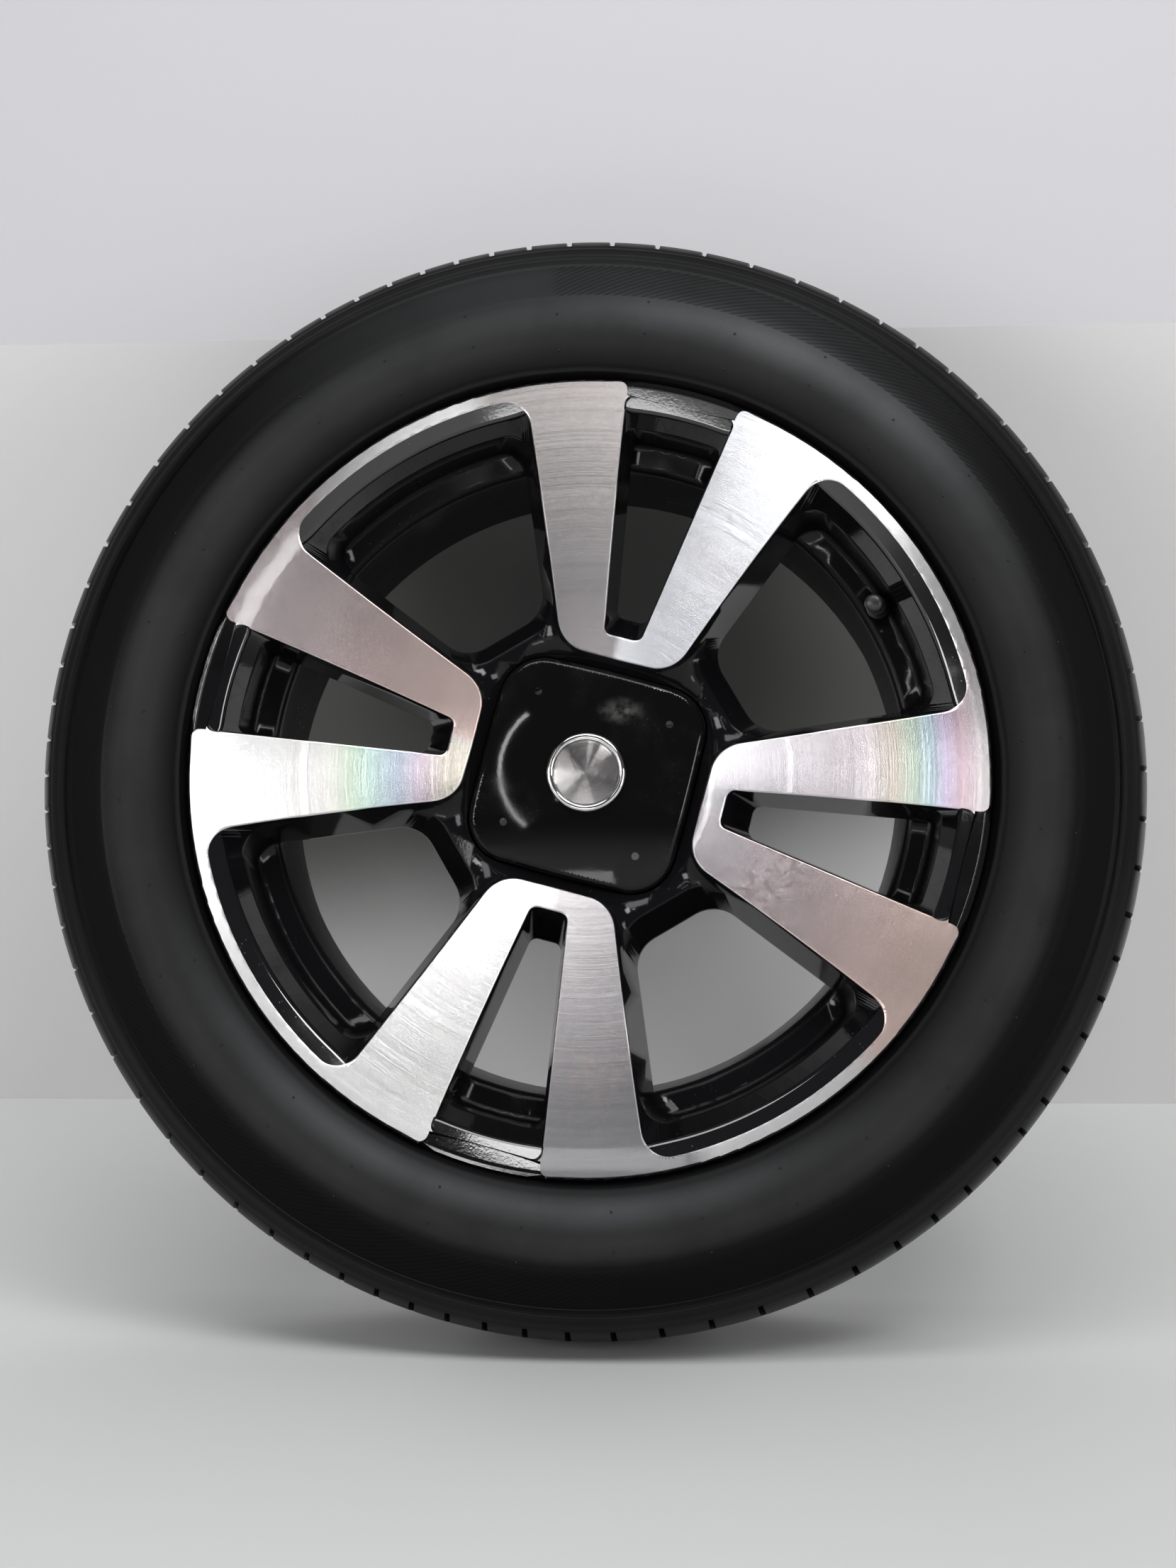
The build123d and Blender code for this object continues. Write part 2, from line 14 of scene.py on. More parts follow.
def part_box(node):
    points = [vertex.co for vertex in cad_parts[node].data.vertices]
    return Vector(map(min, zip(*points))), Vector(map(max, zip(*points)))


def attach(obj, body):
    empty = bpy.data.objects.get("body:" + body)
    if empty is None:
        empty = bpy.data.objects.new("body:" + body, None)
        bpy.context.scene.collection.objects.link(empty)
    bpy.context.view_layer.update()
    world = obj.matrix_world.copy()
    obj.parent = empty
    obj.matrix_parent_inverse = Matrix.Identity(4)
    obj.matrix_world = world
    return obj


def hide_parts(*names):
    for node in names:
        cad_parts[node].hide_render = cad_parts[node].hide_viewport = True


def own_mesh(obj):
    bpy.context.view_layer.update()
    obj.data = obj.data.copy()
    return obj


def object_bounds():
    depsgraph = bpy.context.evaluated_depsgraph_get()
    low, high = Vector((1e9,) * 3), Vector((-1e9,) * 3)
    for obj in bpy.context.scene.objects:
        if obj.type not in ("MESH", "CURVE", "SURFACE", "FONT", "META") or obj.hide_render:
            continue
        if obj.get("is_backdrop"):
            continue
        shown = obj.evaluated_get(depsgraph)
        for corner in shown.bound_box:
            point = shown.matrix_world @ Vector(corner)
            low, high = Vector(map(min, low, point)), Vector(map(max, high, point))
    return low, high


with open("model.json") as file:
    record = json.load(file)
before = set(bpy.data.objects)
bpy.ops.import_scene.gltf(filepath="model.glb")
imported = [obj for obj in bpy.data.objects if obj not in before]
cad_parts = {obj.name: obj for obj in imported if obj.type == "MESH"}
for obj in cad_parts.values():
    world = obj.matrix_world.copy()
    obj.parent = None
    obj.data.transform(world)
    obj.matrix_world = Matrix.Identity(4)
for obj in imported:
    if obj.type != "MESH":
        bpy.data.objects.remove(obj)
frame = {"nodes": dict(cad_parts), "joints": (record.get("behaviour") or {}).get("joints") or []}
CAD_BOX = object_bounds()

LOG = logging.getLogger("road_wheel")
MM = 0.001
SPECK_CORE = 0.4
MID_NOISE = 0.5
Colour = tuple[float, float, float]
Place = tuple[float, float, float]
Range = tuple[float, float]
Stops = tuple[tuple[float, Colour], ...]
NormalRule = Callable[[np.ndarray], np.ndarray]


def rgb(colour: Colour) -> tuple[float, float, float, float]:
    """A colour with full cover, as a colour socket takes it."""
    return (*colour, 1.0)


class Body(Enum):
    """The rigid bodies that pieces ride on."""

    WHEEL = "wheel"
    CENTRE_CAP = "centre_cap"
    VALVE_CAP_SEAL = "valve_cap_seal"
    VALVE_CAP = "valve_cap"
    VALVE_PIN = "valve_pin"


class Slot(Enum):
    """The record's material slots."""

    TYRE = "tyre"
    ALLOY = "alloy"
    CAP_PLASTIC = "cap_plastic"
    BADGE_CHROME = "badge_chrome"
    SPRING_STEEL = "spring_steel"
    VALVE_RUBBER = "valve_rubber"
    VALVE_BRASS = "valve_brass"
    VALVE_CAP_PLASTIC = "valve_cap_plastic"
    SEAL_RUBBER = "seal_rubber"


class Signal:
    """A shader value that does arithmetic: an expression on values adds its Math nodes."""

    def __init__(self, sheet: "Sheet", socket: bpy.types.NodeSocket) -> None:
        """Wraps one output socket of a sheet's tree."""
        self.sheet = sheet
        self.socket = socket

    def math(self, operation: str, *values: Any) -> "Signal":
        """Adds one Math node.

        Args:
            operation: The Math node's operation.
            values: Its inputs, signals or numbers.

        Returns:
            The node's value.
        """
        node = self.sheet.add("ShaderNodeMath", {"operation": operation}, dict(enumerate(values)))
        return Signal(self.sheet, node.outputs[0])

    def __add__(self, other: Any) -> "Signal":
        """Sum."""
        return self.math("ADD", self, other)

    __radd__ = __add__

    def __sub__(self, other: Any) -> "Signal":
        """Difference."""
        return self.math("SUBTRACT", self, other)

    def __rsub__(self, other: Any) -> "Signal":
        """Reflected difference."""
        return self.math("SUBTRACT", other, self)

    def __mul__(self, other: Any) -> "Signal":
        """Product."""
        return self.math("MULTIPLY", self, other)

    __rmul__ = __mul__

    def __truediv__(self, other: Any) -> "Signal":
        """Quotient."""
        return self.math("DIVIDE", self, other)

    def __rtruediv__(self, other: Any) -> "Signal":
        """Reflected quotient."""
        return self.math("DIVIDE", other, self)

    def __abs__(self) -> "Signal":
        """Absolute value."""
        return self.math("ABSOLUTE", self)

    def sine(self) -> "Signal":
        """Sine of an angle in radians."""
        return self.math("SINE", self)

    def cosine(self) -> "Signal":
        """Cosine of an angle in radians."""
        return self.math("COSINE", self)

    def angle_to(self, rise: "Signal") -> "Signal":
        """Angle in radians of a step whose parts are this one across and another up."""
        return self.math("ARCTAN2", rise, self)

    def hypot(self, other: "Signal") -> "Signal":
        """Length of a step whose two parts these are."""
        return (self * self + other * other).power(0.5)

    def power(self, exponent: float) -> "Signal":
        """Power with a fixed exponent."""
        return self.math("POWER", self, exponent)

    def step(self, low: float, high: float) -> "Signal":
        """Smooth rise from 0 at low to 1 at high, or a fall where low is the larger.

        Args:
            low: Where the result is 0.
            high: Where the result is 1.

        Returns:
            The smooth step.
        """
        start, stop, first, last = (low, high, 0.0, 1.0) if low < high else (high, low, 1.0, 0.0)
        node = self.sheet.add(
            "ShaderNodeMapRange",
            {"interpolation_type": "SMOOTHSTEP"},
            {"Value": self, "From Min": start, "From Max": stop, "To Min": first, "To Max": last},
        )
        return Signal(self.sheet, node.outputs[0])

    def band(self, low: float, high: float, soft: float) -> "Signal":
        """1 between two values and 0 outside, with soft edges of one width."""
        return self.step(low - soft, low + soft) * self.step(high + soft, high - soft)


class Sheet:
    """One material's node tree."""

    def __init__(self, name: str) -> None:
        """Starts an empty tree with its output.

        Args:
            name: The material's name.
        """
        self.material = bpy.data.materials.new(name)
        self.material.use_nodes = True
        self.tree = self.material.node_tree
        self.tree.nodes.clear()
        self.output = self.add("ShaderNodeOutputMaterial")

    def add(
        self,
        kind: str,
        settings: dict[str, Any] | None = None,
        inputs: dict[Any, Any] | None = None,
    ) -> bpy.types.Node:
        """Makes any node.

        Args:
            kind: The node's type.
            settings: Its properties, set first; "stops" are a ramp's positions and colours.
            inputs: Values or signals for its sockets, by name or number.

        Returns:
            The node.
        """
        node = self.tree.nodes.new(kind)
        for key, value in (settings or {}).items():
            if key == "stops":
                self._set_stops(node.color_ramp, value)
            else:
                setattr(node, key, value)
        for key, value in (inputs or {}).items():
            if isinstance(value, Signal):
                self.tree.links.new(value.socket, node.inputs[key])
            else:
                node.inputs[key].default_value = value
        return node

    @staticmethod
    def _set_stops(ramp: bpy.types.ColorRamp, stops: Stops) -> None:
        """Gives a colour ramp its stops.

        Args:
            ramp: The ramp, which starts with two stops.
            stops: Positions from 0 to 1 and their colours.
        """
        while len(ramp.elements) < len(stops):
            ramp.elements.new(1.0)
        for element, (position, colour) in zip(ramp.elements, stops):
            element.position = position
            element.color = rgb(colour)

    def signal(self, node: bpy.types.Node, output: Any = 0) -> Signal:
        """One output of a node as a signal."""
        return Signal(self, node.outputs[output])

    def place(self) -> Signal:
        """Object coordinates."""
        return self.signal(self.add("ShaderNodeTexCoord"), "Object")

    def axes(self, vector: Signal) -> tuple[Signal, Signal, Signal]:
        """The three parts of a vector."""
        node = self.add("ShaderNodeSeparateXYZ", None, {0: vector})
        return self.signal(node, 0), self.signal(node, 1), self.signal(node, 2)

    def combine(self, x: Any, y: Any, z: Any) -> Signal:
        """A vector from its three parts."""
        return self.signal(self.add("ShaderNodeCombineXYZ", None, {0: x, 1: y, 2: z}))

    def vector(self, operation: str, *values: Any) -> Signal:
        """One Vector Math node."""
        node = self.add("ShaderNodeVectorMath", {"operation": operation}, dict(enumerate(values)))
        return self.signal(node)

    def scaled(self, vector: Signal, factor: Any) -> Signal:
        """A vector times a number."""
        node = self.add("ShaderNodeVectorMath", {"operation": "SCALE"}, {0: vector, "Scale": factor})
        return self.signal(node)

    def noise(self, vector: Signal, scale: float, detail: float = 3.0, rough: float = 0.5) -> Signal:
        """Cloudy noise from 0 to 1 over a vector."""
        inputs = {"Vector": vector, "Scale": scale, "Detail": detail, "Roughness": rough}
        return self.signal(self.add("ShaderNodeTexNoise", None, inputs))

    def noise_along(self, value: Signal, scale: float, detail: float = 2.0) -> Signal:
        """Noise from 0 to 1 along one value."""
        settings = {"noise_dimensions": "1D"}
        return self.signal(self.add("ShaderNodeTexNoise", settings, {"W": value * scale, "Detail": detail}))

    def specks(self, vector: Signal, scale: float, size: float) -> Signal:
        """Sparse round specks with soft edges: 1 near each cell's point of a cell pattern."""
        node = self.add("ShaderNodeTexVoronoi", None, {"Vector": vector, "Scale": scale})
        return self.signal(node, "Distance").step(size, size * SPECK_CORE)

    def mix(self, factor: Any, first: Any, second: Any) -> Signal:
        """Blend of two colours.

        Args:
            factor: Share of the second one.
            first: A signal or a colour.
            second: A signal or a colour.

        Returns:
            The blended colour.
        """
        first, second = (c if isinstance(c, Signal) else rgb(c) for c in (first, second))
        node = self.add("ShaderNodeMix", {"data_type": "RGBA"}, {0: factor, 6: first, 7: second})
        return self.signal(node, 2)

    def ramp(self, factor: Signal, stops: Stops) -> Signal:
        """Colour looked up along a value."""
        return self.signal(self.add("ShaderNodeValToRGB", {"stops": stops}, {0: factor}))

    def bump(self, height: Signal, distance: float, strength: float = 1.0, normal: Any = None) -> Signal:
        """Normal tilted by a height.

        Args:
            height: The height, in units of the distance.
            distance: What a height of 1 stands for.
            strength: Share of the tilt that is used.
            normal: The normal that is tilted, if not the surface's own.

        Returns:
            The tilted normal.
        """
        inputs = {"Height": height, "Distance": distance, "Strength": strength}
        if normal is not None:
            inputs["Normal"] = normal
        return self.signal(self.add("ShaderNodeBump", None, inputs))

    def rounded(self, radius: float) -> Signal:
        """Normal that rolls over sharp edges within a radius."""
        return self.signal(self.add("ShaderNodeBevel", {"samples": 6}, {"Radius": radius}))

    def spun_normal(self, x: Signal, z: Signal, radius: Signal, per_metre: float, slope: float) -> Signal:
        """Normal of a face turned in fine rings: each ring leans in or out along the radius.

        Args:
            x: Place across.
            z: Place upwards.
            radius: Distance from the wheel's axis.
            per_metre: Rings a metre.
            slope: How far the rings lean.

        Returns:
            The leaning normal.
        """
        marks = self.noise_along(radius, per_metre, 1.0)
        radial = self.combine(x / radius, 0.0, z / radius)
        normal = self.signal(self.add("ShaderNodeNewGeometry"), "Normal")
        tilt = self.scaled(radial, (marks - MID_NOISE) * slope)
        return self.vector("NORMALIZE", self.vector("ADD", normal, tilt))

    def principled(self, **inputs: Any) -> bpy.types.Material:
        """Closes the tree with one principled shader.

        Args:
            inputs: Its sockets, with underscores for the spaces in their names.

        Returns:
            The finished material.
        """
        named = {key.replace("_", " "): value for key, value in inputs.items()}
        shader = self.add("ShaderNodeBsdfPrincipled", None, named)
        self.tree.links.new(shader.outputs[0], self.output.inputs["Surface"])
        return self.material


@dataclass(frozen=True)
class PaintedRainbow:
    """Painted rainbow reflection along one spoke: its angle, where its colours run and where they fade in."""

    spoke: float
    span: Range
    fade: Range
    bands: Stops


@dataclass(frozen=True)
class TurnedAluminium:
    """Lathe-turned face under lacquer: fine rings, each spoke's own tone (part film tint, part painted
    highlight and shade) and painted rainbow bands.
    """

    name: str = "turned_aluminium"
    metal: Colour = (0.90, 0.895, 0.90)
    stain: Colour = (0.54, 0.41, 0.39)
    spark: Colour = (1.0, 1.0, 1.0)
    # Each spoke's inner and outer colour: part film tint, part painted highlight and shade, lighter or darker
    # as light fell on that spoke.
    spokes: tuple[tuple[float, Colour, Colour], ...] = (
        (91.2, (0.31, 0.297, 0.306), (0.44, 0.415, 0.404)),
        (59.2, (0.76, 0.77, 0.81), (0.63, 0.64, 0.665)),
        (1.2, (0.64, 0.615, 0.645), (0.86, 0.79, 0.82)),
        (-30.8, (0.90, 0.83, 0.87), (0.95, 0.73, 0.67)),
        (-88.8, (0.62, 0.595, 0.607), (0.27, 0.265, 0.275)),
        (-120.8, (0.95, 0.95, 0.96), (0.96, 0.96, 0.95)),
        (-178.8, (0.90, 0.87, 0.83), (0.74, 0.74, 0.74)),
        (149.2, (0.88, 0.685, 0.64), (0.66, 0.58, 0.585)),
    )
    spoke_reach: Range = (19.0, 12.0)
    spoke_tone_run: Range = (80.0 * MM, 205.0 * MM)
    right_rainbow: PaintedRainbow = PaintedRainbow(
        1.2,
        (150.0 * MM, 220.0 * MM),
        (135.0 * MM, 165.0 * MM),
        (
            (0.05, (0.95, 0.88, 0.91)),
            (0.28, (0.96, 0.88, 0.78)),
            (0.42, (0.80, 0.94, 0.80)),
            (0.56, (0.72, 0.88, 0.97)),
            (0.68, (0.86, 0.74, 0.95)),
            (0.80, (0.96, 0.74, 0.82)),
            (0.95, (0.92, 0.86, 0.87)),
        ),
    )
    left_rainbow: PaintedRainbow = PaintedRainbow(
        -178.8,
        (70.0 * MM, 160.0 * MM),
        (155.0 * MM, 125.0 * MM),
        (
            (0.10, (0.97, 0.91, 0.80)),
            (0.25, (0.93, 0.80, 0.90)),
            (0.40, (0.74, 0.84, 0.98)),
            (0.55, (0.74, 0.95, 0.90)),
            (0.68, (0.80, 0.96, 0.78)),
            (0.85, (0.95, 0.94, 0.86)),
        ),
    )
    stained_right: float = -30.8
    right_stain_fade: Range = (165.0 * MM, 120.0 * MM)
    stained_bottom: float = -88.8
    bottom_stain_ring: Range = (110.0 * MM, 170.0 * MM)
    stain_soft: float = 20.0 * MM
    stain_cover: float = 0.45
    cloud_cover: float = 0.10
    spark_cover: float = 0.7
    roughness: float = 0.20
    haze_roughness: float = 0.06
    mark_slope: float = 1.8
    marks_per_metre: float = 18000.0

    def build(self) -> bpy.types.Material:
        """Makes the finish.

        Returns:
            The material.
        """
        sheet = Sheet(self.name)
        place = sheet.place()
        x, _, z = sheet.axes(place)
        radius = x.hypot(z)
        angle = x.angle_to(z) * math.degrees(1.0)
        haze = sheet.noise(place, scale=22.0)
        return sheet.principled(
            Base_Color=self._colour(sheet, place, radius, angle),
            Metallic=1.0,
            Roughness=self.roughness + haze.step(0.3, 0.8) * self.haze_roughness,
            Normal=sheet.spun_normal(x, z, radius, self.marks_per_metre, self.mark_slope),
            Coat_Weight=0.6,
            Coat_Roughness=0.04,
        )

    def _near(self, angle: Signal, centre: float) -> Signal:
        """1 on the spoke at an angle in degrees and 0 away from it."""
        apart = abs(angle.math("WRAP", angle - centre, 180.0, -180.0))
        return apart.step(*self.spoke_reach)

    def _colour(self, sheet: Sheet, place: Signal, radius: Signal, angle: Signal) -> Signal:
        """Metal with each spoke's tone (part film tint, part painted highlight and shade), painted rainbow
        bands at both sides, stains low down and sparks.

        Args:
            sheet: The material's tree.
            place: Object coordinates.
            radius: Distance from the wheel's axis.
            angle: Angle round the axis in degrees.

        Returns:
            The colour.
        """
        outward = radius.step(*self.spoke_tone_run)
        colour: Any = self.metal
        for centre, inner, outer in self.spokes:
            # Painted highlight and shade: each spoke blends from its own inner tone to its own outer tone.
            colour = sheet.mix(self._near(angle, centre), colour, sheet.mix(outward, inner, outer))
        # Painted rainbow reflection: fixed colour bands along two spokes.
        for bow in (self.right_rainbow, self.left_rainbow):
            along = (radius - bow.span[0]) / (bow.span[1] - bow.span[0])
            shown = self._near(angle, bow.spoke) * radius.step(*bow.fade)
            colour = sheet.mix(shown, colour, sheet.ramp(along, bow.bands))
        cloud = sheet.noise(place, scale=20.0, detail=4.0, rough=0.6)
        blotch = sheet.noise(place, scale=330.0, detail=2.0).step(0.47, 0.60) * cloud.step(0.40, 0.60)
        right = self._near(angle, self.stained_right) * radius.step(*self.right_stain_fade)
        ring = radius.band(*self.bottom_stain_ring, self.stain_soft)
        bottom = self._near(angle, self.stained_bottom) * ring
        colour = sheet.mix((right + bottom) * blotch * self.stain_cover, colour, self.stain)
        colour = sheet.mix(cloud.step(0.45, 0.70) * self.cloud_cover, colour, self.stain)
        return sheet.mix(sheet.specks(place, scale=240.0, size=0.05) * self.spark_cover, colour, self.spark)


@dataclass(frozen=True)
class GlossBlackPaint:
    """Deep black lacquer with soft edges, a trace of orange peel and dust."""

    name: str = "gloss_black_paint"
    colour: Colour = (0.0045, 0.0045, 0.0052)
    dust: Colour = (0.10, 0.095, 0.09)
    speck_cover: float = 0.5
    film_cover: float = 0.06
    edge_round: float = 2.0 * MM
    peel_depth: float = 0.02 * MM
    roughness: float = 0.06
    speck_roughness: float = 0.3
    film_roughness: float = 0.07
    specular: float = 0.28

    def build(self) -> bpy.types.Material:
        """Makes the finish.

        Returns:
            The material.
        """
        sheet = Sheet(self.name)
        place = sheet.place()
        dirt = sheet.noise(place, scale=34.0, detail=6.0, rough=0.65)
        specks = sheet.specks(place, scale=260.0, size=0.12) * sheet.noise(place, scale=15.0).step(0.48, 0.62)
        cover = specks * self.speck_cover + dirt.step(0.58, 0.8) * self.film_cover
        dulled = dirt.step(0.5, 0.8) * self.film_roughness + specks * self.speck_roughness
        peel = sheet.noise(place, scale=700.0, detail=1.0)
        return sheet.principled(
            Base_Color=sheet.mix(cover, self.colour, self.dust),
            Roughness=self.roughness + dulled,
            Normal=sheet.bump(peel, self.peel_depth, 0.5, self._rolled(sheet, place)),
            Specular_IOR_Level=self.specular,
        )

    def _rolled(self, sheet: Sheet, place: Signal) -> Signal:
        """Normal that rolls over the casting's edges, the same at every place."""
        return sheet.rounded(self.edge_round)


@dataclass(frozen=True)
class LipBlackPaint(GlossBlackPaint):
    """The same lacquer on the lowered lips, whose shading rolls from the rim's edge into the slot."""

    name: str = "gloss_black_lip"
    specular: float = 1.0
    edge: Range = (220.5 * MM, 218.0 * MM)
    fall: Range = (207.5 * MM, 203.5 * MM)
    lean: float = 24.5
    fall_lean: float = 50.0

    def _rolled(self, sheet: Sheet, place: Signal) -> Signal:
        """Normal that faces outboard at the rim's edge and leans in towards the hub further inside.

        Args:
            sheet: The material's tree.
            place: Object coordinates.

        Returns:
            The normal.
        """
        x, _, z = sheet.axes(place)
        radius = x.hypot(z)
        lean = radius.step(*self.edge) * math.radians(self.lean)
        lean = lean + radius.step(*self.fall) * math.radians(self.fall_lean)
        inward = lean.sine() / radius * -1.0
        return sheet.combine(x * inward, lean.cosine() * -1.0, z * inward)


@dataclass(frozen=True)
class CapGloss:
    """Gloss black moulding with a dusty bloom, dots of dried water and one dull pale patch that is part dust
    smudge, part painted highlight.
    """

    name: str = "cap_gloss_black"
    colour: Colour = (0.003, 0.003, 0.0032)
    dust: Colour = (0.16, 0.155, 0.15)
    dot_cover: float = 0.45
    bloom_cover: float = 0.03
    smudge_and_highlight_cover: float = 0.5
    smudge_and_highlight: Range = (19.5 * MM, 35.0 * MM)
    smudge_and_highlight_reach: float = 16.0 * MM
    smudge_and_highlight_stretch: float = 1.7
    peel_depth: float = 0.01 * MM
    roughness: float = 0.045
    dot_roughness: float = 0.25
    bloom_roughness: float = 0.05
    smudge_and_highlight_roughness: float = 0.2
    specular: float = 0.28

    def build(self) -> bpy.types.Material:
        """Makes the finish.

        Returns:
            The material.
        """
        sheet = Sheet(self.name)
        place = sheet.place()
        x, _, z = sheet.axes(place)
        away = (x - self.smudge_and_highlight[0]).hypot((z - self.smudge_and_highlight[1]) * self.smudge_and_highlight_stretch)
        bloom = sheet.noise(place, scale=26.0, detail=5.0, rough=0.6).step(0.48, 0.75)
        wiped = sheet.noise(place, scale=180.0, detail=4.0, rough=0.6).step(0.3, 0.7)
        # Pale dull patch at one place on the dome: part dust, part painted highlight where a glint falls.
        smudge_and_highlight_mask = away.step(self.smudge_and_highlight_reach, 0.0) * wiped
        dots = sheet.specks(place, scale=420.0, size=0.14) * bloom
        cover = dots * self.dot_cover + bloom * self.bloom_cover + smudge_and_highlight_mask * self.smudge_and_highlight_cover
        rough = bloom * self.bloom_roughness + dots * self.dot_roughness + smudge_and_highlight_mask * self.smudge_and_highlight_roughness
        return sheet.principled(
            Base_Color=sheet.mix(cover, self.colour, self.dust),
            Roughness=self.roughness + rough,
            Normal=sheet.bump(sheet.noise(place, scale=500.0, detail=1.0), self.peel_depth, 0.4),
            Specular_IOR_Level=self.specular,
        )


@dataclass(frozen=True)
class SpunChrome:
    """Bright plating spun in fine rings, which spread a reflection along the radius."""

    name: str = "spun_chrome"
    colour: Colour = (0.74, 0.715, 0.70)
    roughness: float = 0.12
    mark_slope: float = 0.9
    marks_per_metre: float = 18000.0
    smallest_radius: float = 0.01 * MM

    def build(self) -> bpy.types.Material:
        """Makes the finish.

        Returns:
            The material.
        """
        sheet = Sheet(self.name)
        x, _, z = sheet.axes(sheet.place())
        radius = x.hypot(z) + self.smallest_radius
        return sheet.principled(
            Base_Color=rgb(self.colour),
            Metallic=1.0,
            Roughness=self.roughness,
            Normal=sheet.spun_normal(x, z, radius, self.marks_per_metre, self.mark_slope),
        )


@dataclass(frozen=True)
class PaintedSheen:
    """A painted sheen, a soft pale patch where a highlight falls on a sidewall: its angle in radians, how it
    fades round and its ring.
    """

    angle: float
    fade: Range
    ring: Range
    soft: float
    strength: float


@dataclass(frozen=True)
class TyreRubber:
    """Black rubber: painted shade next to the rim, a pale mid sidewall that is part bloom and part painted
    sheen, painted sheen patches, dusty tread, fine serrated arcs and scuffs.
    """

    name: str = "tyre_rubber"
    start: float = 220.0 * MM
    span: float = 100.0 * MM
    # Tone from the rim outwards. The darkest rows by the rim are painted shade from the flange. The lighter
    # row at 0.075 is a painted highlight on the rib. The lighter mid sidewall is part bloom and part painted
    # sheen. The dark outer band and the dusty tread are the rubber's own.
    tones_with_painted_light: tuple[Range, ...] = (
        (0.00, 0.0015),
        (0.06, 0.002),
        (0.075, 0.012),
        (0.095, 0.004),
        (0.15, 0.012),
        (0.23, 0.024),
        (0.34, 0.027),
        (0.41, 0.019),
        (0.46, 0.005),
        (0.52, 0.0015),
        (0.685, 0.0015),
        (0.705, 0.001),
        (0.72, 0.009),
        (0.80, 0.011),
        (0.84, 0.014),
        (1.00, 0.022),
    )
    tone_waver: float = 0.03
    tint: Colour = (0.98, 1.0, 0.985)
    # Colour of the painted sheens: lighter rubber where highlights fall, partly bloom.
    bloom: Colour = (0.105, 0.110, 0.115)
    sheens: tuple[PaintedSheen, ...] = (
        PaintedSheen(1.05, (0.75, 0.0), (253.0 * MM, 267.0 * MM), 10.0 * MM, 0.7),
        PaintedSheen(1.45, (1.0, 0.2), (254.0 * MM, 290.0 * MM), 10.0 * MM, 0.22),
        PaintedSheen(-1.85, (1.15, 0.2), (231.0 * MM, 243.0 * MM), 8.0 * MM, 0.65),
    )
    black: Colour = (0.003, 0.003, 0.003)
    scuff_cover: float = 0.35
    arc_ring: Range = (268.5 * MM, 286.5 * MM)
    arc_soft: float = 0.6 * MM
    arcs_a_turn: float = 2.0
    arc_clock: float = 0.4
    arc_edge: Range = (0.25, 0.30)
    hatches: float = 330.0
    hatch_slant: float = 2600.0
    hatch_cover: float = 0.4
    relief: float = 0.4 * MM
    roughness: float = 0.30
    specular: float = 0.09

    def build(self) -> bpy.types.Material:
        """Makes the finish.

        Returns:
            The material.
        """
        sheet = Sheet(self.name)
        place = sheet.place()
        x, _, z = sheet.axes(place)
        radius, angle = x.hypot(z), x.angle_to(z)
        cloud = sheet.noise(place, scale=14.0, detail=5.0, rough=0.6)
        band = radius.band(*self.arc_ring, self.arc_soft)
        arcs = (angle * self.arcs_a_turn - self.arc_clock).sine().step(*self.arc_edge) * band
        hatch = (angle * self.hatches + radius * self.hatch_slant).sine().step(-0.3, 0.3)
        colour = self._colour(sheet, radius, angle, cloud)
        height = arcs * hatch * 0.8 + sheet.noise(place, scale=900.0, detail=2.0) * 0.2
        return sheet.principled(
            Base_Color=sheet.mix(arcs * hatch * self.hatch_cover, colour, self.black),
            Roughness=self.roughness + cloud * 0.10 + band * 0.35,
            Normal=sheet.bump(height, self.relief, 0.8),
            Specular_IOR_Level=self.specular,
        )

    def _colour(self, sheet: Sheet, radius: Signal, angle: Signal, cloud: Signal) -> Signal:
        """Tone looked up along the radius (painted shade by the rim, a mid sidewall part bloom and part
        painted sheen), with painted pale sheens and dark scuffs.

        Args:
            sheet: The material's tree.
            radius: Distance from the wheel's axis.
            angle: Angle round the axis in radians.
            cloud: Cloudy noise.

        Returns:
            The colour.
        """
        stops = tuple((at, tuple(tone * part for part in self.tint)) for at, tone in self.tones_with_painted_light)
        waver = (cloud - MID_NOISE) * self.tone_waver
        colour = sheet.ramp((radius - self.start) / self.span + waver, stops)
        cover: Any = 0.0
        for sheen in self.sheens:
            around = abs(angle - sheen.angle).step(*sheen.fade)
            cover = cover + around * radius.band(*sheen.ring, sheen.soft) * sheen.strength
        # Painted sheens: the sidewall is lighter where highlights fall.
        colour = sheet.mix(cover * (0.6 + cloud * 0.6), colour, self.bloom)
        return sheet.mix(cloud.step(0.35, 0.75) * self.scuff_cover, colour, self.black)


@dataclass(frozen=True)
class PlainFinish:
    """A moulded, plated or drawn finish: one colour, cloudy wear and a fine bump."""

    name: str
    colour: Colour
    worn: Colour
    metallic: float
    roughness: float
    grain: float = 600.0
    depth: float = 0.02 * MM
    wear_roughness: float = 0.12

    def build(self) -> bpy.types.Material:
        """Makes the finish.

        Returns:
            The material.
        """
        sheet = Sheet(self.name)
        place = sheet.place()
        wear = sheet.noise(place, scale=90.0, detail=5.0, rough=0.65)
        return sheet.principled(
            Base_Color=sheet.mix(wear.step(0.45, 0.75), self.colour, self.worn),
            Metallic=self.metallic,
            Roughness=self.roughness + wear.step(0.4, 0.8) * self.wear_roughness,
            Normal=sheet.bump(sheet.noise(place, self.grain, detail=2.0), self.depth, 0.6),
        )


